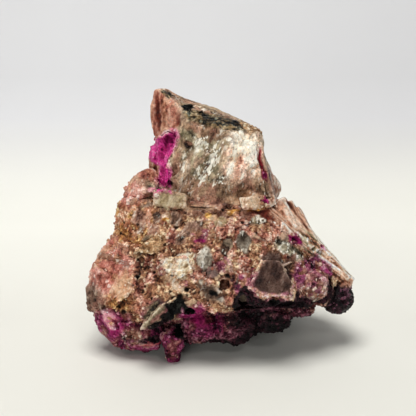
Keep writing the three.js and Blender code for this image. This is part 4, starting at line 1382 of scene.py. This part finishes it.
@dataclass
class Rock:
    """The specimen's one stone: block, crumbling body, slab, lip and foot.

    Lengths are in mm. Each height is scaled by how strongly a place shows its kind of surface,
    and the sculpting fades out over table_fade above the table.
    """

    grain: float = 0.32
    cuts: tuple[float, ...] = (15.0, 29.5, 45.5)
    overlap: float = 1.2
    tuck: float = 0.7
    names: tuple[str, ...] = ("rock_foot", "rock_lip", "rock_face", "rock_tower")
    coarse_height: float = 0.17
    fine_height: float = 0.38
    vein_height: float = 0.22
    wave_height: float = 0.4
    step_height: float = 0.55
    hackle_height: float = 0.10
    face_wave_height: float = 0.16
    rib_height: float = 0.28
    table_gap: float = 0.15
    table_fade: float = 0.9
    end_gap: float = 0.05
    end_fade: float = 0.5
    rim_highlight_tint: tuple[float, float, float] = (0.98, 0.83, 0.72)
    rim_highlight_share: float = 0.35
    gem_polish: float = 0.24
    painted_pit_shade: float = 0.82
    vein_light: float = 0.7
    smooth_angle: float = 28.0
    gems: Scatter = field(default_factory=lambda: Scatter(4.6, 151, 0.22, 0.42, share=0.16))
    coarse: Scatter = field(default_factory=lambda: Scatter(2.2, 101, 0.26, 0.5, share=0.6))
    fine: Scatter = field(default_factory=lambda: Scatter(0.95, 201, 0.3, 0.56))
    pits: Scatter = field(default_factory=lambda: Scatter(2.4, 301, 0.1, 0.34, share=0.6))
    pieces: list[bpy.types.Object] = field(default_factory=list)
    bare: dict[str, np.ndarray] = field(default_factory=dict)

    def build(self, painter: Painter) -> None:
        """Makes the sculpted and tinted rock in closed slices that overlap a little.

        Args:
            painter: says which mineral lies where.
        """
        levels = [-math.inf, *self.cuts, math.inf]
        for name, low, high in zip(self.names, levels, levels[1:]):
            piece = copy_of_node(ROCK_NODE, name)
            ends = [(low - self.overlap, False), (high + self.overlap, True)]
            ends = [end for end in ends if math.isfinite(end[0])]
            for level, clear_above in ends:
                self.cut(piece, level, clear_above)
            remesh(piece, self.grain)
            for level, _ in ends:
                self.thin_end(piece, level)
            carving = self.sculpt(piece.data, painter, [level for level, _ in ends])
            self.tint(piece.data, painter, carving)
            self.pieces.append(piece)
            self.bare[name] = 1 - carving.gem

    @staticmethod
    def cut(piece: bpy.types.Object, level: float, clear_above: bool) -> None:
        """Cuts a piece at a level in mm, closes it there and drops one side."""
        with editing(piece):
            bpy.ops.mesh.bisect(plane_co=(0, 0, level * MM), plane_no=UP, use_fill=True,
                                clear_outer=clear_above, clear_inner=not clear_above)

    @staticmethod
    def thin_end(piece: bpy.types.Object, level: float) -> None:
        """Turns the many small faces of a closed end, which nobody sees, into a few.

        Args:
            piece: a slice of the rock.
            level: where it was closed, in mm.
        """
        mesh = piece.data
        flat = np.abs(read_places(mesh)[:, 2] - level) < 0.02
        corners = read(mesh.loops, "vertex_index", np.int32)
        starts = read(mesh.polygons, "loop_start", np.int32)
        with editing(piece, ""):
            bpy.ops.mesh.select_mode(type="FACE")
            bpy.ops.mesh.select_all(action="DESELECT")
        mesh.polygons.foreach_set("select", np.logical_and.reduceat(flat[corners], starts))
        with editing(piece, ""):
            bpy.ops.mesh.delete(type="FACE")
            bpy.ops.mesh.select_mode(type="EDGE")
            bpy.ops.mesh.select_non_manifold(extend=False)
            bpy.ops.mesh.fill(use_beauty=False)

    def sculpt(self, mesh: bpy.types.Mesh, painter: Painter, ends: list[float]) -> Carving:
        """Gives the rock its crystals, pits, cleavage steps and ribs.

        Args:
            mesh: one slice of the rock.
            painter: says how crumbled, pitted or cleaved each place is.
            ends: levels in mm where the slice was closed, which draw back under the next slice.

        Returns:
            What the colours need to know of it.
        """
        start, edges = read_places(mesh), read_edges(mesh)
        outward = unit(blurred(read_normals(mesh), edges, 3))
        traits = painter.traits(start)
        shown = np.ones(len(start))
        for level in ends:
            shown *= eased((np.abs(start[:, 2] - level) - self.end_gap) / self.end_fade)
        inner = eased((start[:, 2] - self.table_gap) / self.table_fade) * shown
        worn = dots(blurred(start, edges, 10) - start, outward)
        places = start + outward * (worn * inner * traits["cleavage"])[:, None]
        gems, gem_own = self.gems.relief(places, outward, 0.6, 0.7)
        coarse, coarse_own = self.coarse.relief(places, outward, 0.55, 0.6)
        fine, fine_own = self.fine.relief(places, outward, 0.3, 0.3)
        vein = self.boxwork(places)
        crumbs = self.coarse_height * coarse + self.fine_height * fine + self.vein_height * vein
        gem = eased((gems - crumbs + 0.1) / 0.25) * traits["gems"]
        pit, rim = self.pits.hollows(places)
        pit *= 1 - gem
        drawn = along_grain(places, DOWN_FACE, 2.0)
        steps, steps_own = self.cleavage().relief(drawn, outward, 0.14, 0.18)
        hackles = noise(drawn, 1.3, 441) + 0.6 * noise(drawn, 0.65, 442)
        waves = fractal(places, 5.0, 51, 3)
        striped = noise(along_grain(places, DOWN_SLAB, 14.0), 0.75, 61)
        lift = traits["crumble"] * (crumbs * (1 - gem) + gems * gem + self.wave_height * waves)
        lift += traits["cleavage"] * (self.step_height * steps + self.hackle_height * hackles
                                      + self.face_wave_height * waves)
        lift += traits["ribs"] * self.rib_height * striped
        lift -= traits["pitting"] * pit + traits["sink"]
        lift = lift * inner - self.tuck * (1 - shown)
        low, high = SURVEY.rock_box()
        moved = places + outward * lift[:, None]
        write_places(mesh, np.clip(moved, low + 0.01, high - 0.01))
        own = np.where(traits["cleavage"] > traits["crumble"], 0.5 + 0.6 * (steps_own - 0.5),
                       np.where(fine > 0.05, fine_own, coarse_own))
        return Carving(start, own, gem, gem_own, pit, rim, vein)

    @staticmethod
    def boxwork(places: np.ndarray) -> np.ndarray:
        """Returns the thin crooked ridges of the matrix, 1 on a crest and 0 away from it."""
        bent = places + 1.1 * np.stack([noise(places, 2.4, 611 + k) for k in range(3)], axis=1)
        broad = 1 - np.abs(noise(bent, 3.6, 621)) / 0.15
        tight = 0.8 - np.abs(noise(bent, 1.8, 631)) / 0.25
        return np.clip(np.maximum(broad, tight), 0, 1)

    @staticmethod
    def cleavage() -> Scatter:
        """Returns the blocks of the great crystal, which all lie nearly the same way."""
        front, side, top = (-0.30, -0.93, 0.21), (0.62, -0.76, 0.19), (0.24, 0.10, 0.96)
        normals = np.array([front, side, top])
        normals /= np.linalg.norm(normals, axis=1)[:, None]
        return Scatter(1.3, 401, 0.25, 0.6, aligned=normals)

    def tint(self, mesh: bpy.types.Mesh, painter: Painter, carving: Carving) -> None:
        """Keeps the colour and roughness of each spot of the rock, with painted shade in hollows
        and pits and painted highlight on ridges and pit rims.

        Args:
            mesh: one slice of the rock, after the sculpting.
            painter: says which mineral lies where.
            carving: what the sculpting has left.
        """
        places, edges = read_places(mesh), read_edges(mesh)
        outward = read_normals(mesh)
        # painted shade and highlight: the surface's dips darken and its bumps lighten the colour
        close = dots(places - blurred(places, edges, 3), outward)
        wide = dots(places - blurred(places, edges, 16), outward)
        relief = np.clip(close / 0.13 * 0.6 + wide / 0.32 * 0.7, -1.5, 1.3)
        traits = painter.traits(carving.places)
        relief += self.vein_light * carving.vein * traits["pitting"] * (1 - carving.gem)
        display = painter.colours(carving.places, carving.own, relief)
        gem = painter.gem_colours(carving.places, carving.gem_own, relief)
        display += (gem - display) * carving.gem[:, None]
        # painted highlight: pale rims round the pits
        rim = (carving.rim * traits["pitting"] * self.rim_highlight_share)[:, None]
        display = display + (np.array(self.rim_highlight_tint) - display) * rim * 0.5
        # painted shade: the pits left by fallen rhombs are darkened by their depth
        hollow = np.clip(carving.pit / 0.5, 0, 1) * traits["pitting"]
        display *= (1 - self.painted_pit_shade * np.clip(hollow, 0, 1))[:, None]
        polish = traits["polish"] + (self.gem_polish - traits["polish"]) * carving.gem
        store_finish(mesh, display, polish=polish, shine=traits["shine"],
                     soft=traits["soft"] * (1 - 0.6 * carving.gem))

    def dress(self, material: bpy.types.Material) -> None:
        """Gives the slices their material and hangs them on the rock's node."""
        for piece in self.pieces:
            select_only(piece)
            bpy.ops.object.shade_smooth_by_angle(angle=math.radians(self.smooth_angle))
            settle(piece, material, ROCK_NODE)


# ---------------------------------------------------------------- crystals and crusts


@dataclass
class CrystalPattern:
    """One small rhomb, modelled as by hand and then copied."""

    places: np.ndarray = field(init=False)
    faces: np.ndarray = field(init=False)

    def __post_init__(self) -> None:
        """Stands a cube on its corner and squashes it to a dolomite rhomb."""
        bpy.ops.object.select_all(action="DESELECT")
        bpy.ops.mesh.primitive_cube_add(size=2.0)
        cube = bpy.context.object
        with editing(cube):
            for axis, angle in (("Z", math.radians(45)), ("X", math.atan(math.sqrt(2)))):
                bpy.ops.transform.rotate(value=angle, orient_axis=axis, center_override=(0, 0, 0))
        self.places = self.squashed(read(cube.data.vertices, "co", wide=3))
        self.faces = np.array([list(face.vertices) for face in cube.data.polygons])
        bpy.data.objects.remove(cube)

    @staticmethod
    def squashed(places: np.ndarray) -> np.ndarray:
        """Presses the cube's corners along the main axis to the rhomb's angle.

        Args:
            places: the corners, with the main axis along Z.

        Returns:
            The rhomb's corners.
        """
        tip = places[np.argmax(np.abs(places[:, 2]))]
        if abs(abs(tip[2]) - math.sqrt(3)) > 0.01:
            raise ValueError("the cube doesn't stand on its corner")
        edges = RHOMB.edges()
        press = edges[0, 2] / math.sqrt(1 / 3)
        spread = math.hypot(edges[0, 0], edges[0, 1]) / math.sqrt(2 / 3)
        return places * np.array([spread, spread, press])


@dataclass
class Druse:
    """A coat of small crystals over part of the specimen, joined in one mesh.

    Lean is how far their axes stray from the outward way. Sunk is the share of a crystal's size
    that its middle lies under the surface, and jitter moves the middle about, in mm.
    """

    name: str
    seed: int
    most: int = 7600
    lean: float = 0.6
    sunk: float = 0.45
    jitter: float = 0.1
    smaller: tuple[float, float] = (0.55, 1.25)
    taller: tuple[float, float] = (0.8, 1.5)
    own_swing: float = 1.3
    ridge: float = 0.1
    painted_shade_middle: float = 0.90
    painted_tip_highlight: float = 0.14

    def grow(self, mesh: bpy.types.Mesh, painter: Painter, pattern: CrystalPattern,
             allowed: np.ndarray) -> bpy.types.Object:
        """Grows the crystals on a surface.

        Args:
            mesh: the surface that carries them.
            painter: says how dense and how large they are, and their colours.
            pattern: the crystal that is copied.
            allowed: share of each vertex that may carry crystals.

        Returns:
            The coat of crystals.
        """
        draw = np.random.default_rng(self.seed)
        places, outward = read_places(mesh), read_normals(mesh)
        traits = painter.traits(places)
        density = traits["sugar"] * self.vertex_areas(mesh) * allowed
        total = density.sum()
        count = int(min(self.most, total))
        picked = draw.choice(len(places), size=count, p=density / total)
        size = traits["grain"][picked] * draw.uniform(*self.smaller, count)
        frames = self.frames(outward[picked], draw)
        shape = np.stack([size, size, size * draw.uniform(*self.taller, count)], axis=1)
        jitter = draw.normal(scale=self.jitter, size=(count, 3))
        middle = places[picked] + jitter - outward[picked] * (size * self.sunk)[:, None]
        corners = np.einsum("nij,nvj->nvi", frames, pattern.places[None] * shape[:, None])
        corners += middle[:, None]
        keep = self.inside(corners)
        corners, middle, outward = corners[keep], middle[keep], outward[picked][keep]
        own = draw.uniform(0, 1, len(middle))
        # every crystal is coloured as on a slight ridge, a small painted highlight
        display = painter.colours(middle, 0.5 + self.own_swing * (own - 0.5),
                                  np.full(len(middle), self.ridge))
        polish = painter.traits(middle)["polish"]
        return self.joined(corners, pattern.faces, outward, display, polish)

    def frames(self, outward: np.ndarray, draw: np.random.Generator) -> np.ndarray:
        """Returns a random orientation for each crystal, its main axis near the outward way."""
        axis = unit(outward + draw.normal(scale=self.lean, size=outward.shape))
        side = unit(np.cross(axis, draw.normal(size=outward.shape)))
        return np.stack([side, np.cross(axis, side), axis], axis=2)

    @staticmethod
    def vertex_areas(mesh: bpy.types.Mesh) -> np.ndarray:
        """Returns the surface in mm² that belongs to each vertex."""
        totals = read(mesh.polygons, "loop_total", np.int32)
        share = np.repeat(read(mesh.polygons, "area") / totals, totals) / MM**2
        return np.bincount(read(mesh.loops, "vertex_index", np.int32), share, len(mesh.vertices))

    @staticmethod
    def inside(corners: np.ndarray) -> np.ndarray:
        """Says which crystals lie wholly in the rock's box and above the table."""
        low, high = SURVEY.rock_box()
        low = low + np.array([0, 0, 0.05])
        return ((corners > low) & (corners < high)).all(axis=(1, 2))

    def joined(self, corners: np.ndarray, faces: np.ndarray, outward: np.ndarray,
               display: np.ndarray, polish: np.ndarray) -> bpy.types.Object:
        """Joins the crystals in one object, with painted shade at their roots and painted
        highlight at their tips.

        Args:
            corners: survey places of each crystal's corners.
            faces: the corners' numbers round each face of one crystal.
            outward: the way that each crystal grows.
            display: display colour of each crystal.
            polish: roughness of each crystal.

        Returns:
            The object.
        """
        count, each = corners.shape[:2]
        numbers = (faces[None] + (np.arange(count) * each)[:, None, None]).reshape(-1, 4)
        mesh = bpy.data.meshes.new(self.name)
        mesh.from_pydata(SURVEY.to_frame(corners.reshape(-1, 3)), [], numbers)
        # painted shade towards each crystal's root and painted highlight towards its tip
        rise = np.einsum("nvi,ni->nv", corners - corners.mean(axis=1)[:, None], outward)
        rise /= np.abs(rise).max(axis=1)[:, None]
        shade = (self.painted_shade_middle + self.painted_tip_highlight * rise).reshape(-1, 1)
        store_finish(mesh, np.repeat(display, each, axis=0) * shade,
                     polish=np.repeat(polish, each))
        return put_up(self.name, mesh)


@dataclass
class Crust:
    """The lining of a hollow, in place of its plain solid."""

    node: str
    name: str
    grain: float = 0.22

    def build(self, painter: Painter) -> bpy.types.Object:
        """Makes the crust with its small crystals raised and tinted, with painted shade and
        highlight from its relief.

        Args:
            painter: says which mineral lies where.

        Returns:
            The crust.
        """
        piece = copy_of_node(self.node, self.name)
        remesh(piece, self.grain)
        mesh = piece.data
        places, edges = read_places(mesh), read_edges(mesh)
        outward = unit(blurred(read_normals(mesh), edges, 2))
        lift, own = Scatter(0.8, 501, 0.3, 0.55).relief(places, outward, 0.08, 0.12)
        write_places(mesh, places + outward * lift[:, None])
        places = read_places(mesh)
        # painted shade in the crust's hollows and painted highlight on its ridges
        close = dots(places - blurred(places, edges, 4), read_normals(mesh))
        display = painter.colours(places, own, np.clip(close / 0.12, -1, 1))
        traits = painter.traits(places)
        store_finish(mesh, display, **{name: traits[name] for name in (POLISH, SHINE, SOFT)})
        return piece


# ---------------------------------------------------------------- the studio


@dataclass(frozen=True)
class Softbox:
    """One rectangular light that faces the specimen: metres, watts and colour."""

    name: str
    at: tuple[float, float, float]
    size: tuple[float, float]
    power: float
    colour: tuple[float, float, float]
    aim: tuple[float, float, float] = (0.0, 0.0, 0.03)

    def hang(self) -> None:
        """Adds the light to the scene."""
        lamp = bpy.data.lights.new(self.name, "AREA")
        lamp.shape = "RECTANGLE"
        lamp.size, lamp.size_y = self.size
        lamp.energy = self.power
        lamp.color = self.colour
        held = put_up(self.name, lamp)
        held.location = self.at
        aim = Vector(self.aim) - Vector(self.at)
        held.rotation_euler = aim.to_track_quat("-Z", "Y").to_euler()


@dataclass(frozen=True)
class Paper:
    """The sweep under and behind the specimen, in metres.

    The wall is painted a little darker than the floor, and painted shade darkens it again
    above, as it does the front of the floor.
    """

    front: float = -0.9
    back: float = 0.34
    half_width: float = 1.3
    height: float = 1.2
    bend: float = 0.22
    bend_steps: int = 24
    floor_tint: tuple[float, ...] = (0.96, 0.96, 0.89, 1.0)
    wall_tint_and_shade: tuple[float, ...] = (0.878, 0.887, 0.905, 1.0)
    wall_painted_shade: float = 0.90
    high_painted_shade: float = 0.93
    front_painted_shade: float = 0.84
    mottle_size: float = 0.05

    def build(self) -> None:
        """Lays a floor and bends its far edge up into a wall."""
        bpy.ops.object.select_all(action="DESELECT")
        middle = (self.back + self.front) / 2
        bpy.ops.mesh.primitive_plane_add(size=1.0, location=(0, middle, 0))
        sweep = bpy.context.object
        sweep.name = "paper_sweep"
        with editing(sweep):
            bpy.ops.transform.resize(value=(2 * self.half_width, self.back - self.front, 1))
            bpy.ops.mesh.select_mode(type="EDGE")
            bpy.ops.mesh.select_all(action="DESELECT")
        bpy.ops.object.transform_apply(location=True, rotation=False, scale=False)
        self.pick_fold(sweep.data)
        with editing(sweep, ""):
            bpy.ops.mesh.extrude_region_move(
                TRANSFORM_OT_translate={"value": (0, 0, self.height)})
        self.pick_fold(sweep.data)
        with editing(sweep, ""):
            bpy.ops.mesh.bevel(offset=self.bend, segments=self.bend_steps, affect="EDGES")
        bpy.ops.object.shade_smooth()
        sweep.data.materials.append(self.material())

    def pick_fold(self, mesh: bpy.types.Mesh) -> None:
        """Selects the floor's far edge."""
        for edge in mesh.edges:
            ends = [mesh.vertices[v].co for v in edge.vertices]
            edge.select = all(p.y > self.back - 1e-4 and p.z < 1e-4 for p in ends)

    def material(self) -> bpy.types.Material:
        """Makes plain matt paper with a faint mottle and painted shade by height and depth.

        Returns:
            The material.
        """
        made = Shader("studio_paper")
        places = made.places()
        _, y, z = made.add("SeparateXYZ", {0: places}).outputs
        # painted shade: the wall darker than the floor, darker again higher up, and the floor
        # darker towards the front
        wall = made.ranged(z, -0.003, 0.0155, 1.0, self.wall_painted_shade)
        wall.node.interpolation_type = "SMOOTHSTEP"
        shade = made.maths("MULTIPLY",
                           made.ranged(made.cloud(places, self.mottle_size, 3.0),
                                       0.3, 0.7, 0.985, 1.0),
                           wall,
                           made.ranged(z, 0.018, 0.036, 1.0, self.high_painted_shade),
                           made.ranged(y, 0.01, 0.10, self.front_painted_shade, 1.0))
        rise = made.ranged(z, 0.0, 0.02, 0.0, 1.0)
        paper = made.mixed(rise, self.floor_tint, self.wall_tint_and_shade)
        made.set(Base_Color=made.scaled(paper, shade), Roughness=0.9, Specular_IOR_Level=0.2)
        return made.material


@dataclass(frozen=True)
class Studio:
    """A pale sweep of paper, soft lights and the camera, whose places are on the survey grid."""

    elevation: float = 18.0
    lens: float = 85.0
    sensor: float = 36.0
    distance: float = 294.667
    target: tuple[float, float, float] = (-3.3, 0.0, 40.5)
    lights: tuple[Softbox, ...] = (
        Softbox("key_light", (-0.06, -0.08, 0.60), (0.32, 0.26), 3.12, (1.0, 0.985, 0.96)),
        Softbox("hard_light", (0.16, -0.46, 0.50), (0.10, 0.10), 0.3, (1.0, 0.98, 0.95)),
        Softbox("front_fill", (-0.26, -0.84, 0.16), (0.4, 0.3), 2.6, (1.0, 0.99, 0.97)))
    room_tint: tuple[float, ...] = (0.93, 0.92, 1.0, 1.0)
    room_light: float = 0.07

    def build(self) -> None:
        """Makes the paper, the lights and the camera."""
        Paper().build()
        for light in self.lights:
            light.hang()
        self.room()
        self.camera()

    def room(self) -> None:
        """Sets the light that comes from all round."""
        world = bpy.data.worlds.new("room")
        world.use_nodes = True
        background = world.node_tree.nodes["Background"]
        background.inputs["Color"].default_value = self.room_tint
        background.inputs["Strength"].default_value = self.room_light
        bpy.context.scene.world = world

    def camera(self) -> None:
        """Sets the camera and how the picture is shown."""
        slope = math.radians(self.elevation)
        back = np.array([0, -math.cos(slope), math.sin(slope)])
        lens = bpy.data.cameras.new("camera")
        lens.lens, lens.sensor_width = self.lens, self.sensor
        held = put_up("camera", lens)
        held.location = SURVEY.to_frame(np.array(self.target) + back * self.distance)
        held.rotation_euler = (math.radians(90 - self.elevation), 0, 0)
        scene = bpy.context.scene
        scene.camera = held
        scene.view_settings.view_transform = "Standard"
        scene.view_settings.look = "None"


# ---------------------------------------------------------------- the whole


def main() -> None:
    """Builds the specimen and its studio, piece by piece."""
    logging.basicConfig(level=logging.INFO, format="%(asctime)s %(message)s")
    painter = Painter(lower_zones() + left_zones() + right_zones() + tower_zones()
                      + pocket_zones() + bench_zones() + face_zones())
    stone = StoneFinish().material()
    sugar = StoneFinish(name="sugary_druse", facet=0.5 * MM, facet_tilt=0.25, shade=0.2,
                        roughness_spread=0.3, glow=0.22).material()
    rock = Rock()
    rock.build(painter)
    pattern = CrystalPattern()
    for seed, part in enumerate(rock.pieces, start=7):
        coat = Druse(part.name + "_crystals", seed)
        piece = coat.grow(part.data, painter, pattern, rock.bare[part.name])
        settle(piece, sugar, ROCK_NODE)
    rock.dress(stone)
    for node, name in ((POCKET_NODE, "pocket_crust"), (LIP_NODE, "lip_crust")):
        settle(Crust(node, name).build(painter), sugar, node)
    Studio().build()


if __name__ == "__main__":
    main()
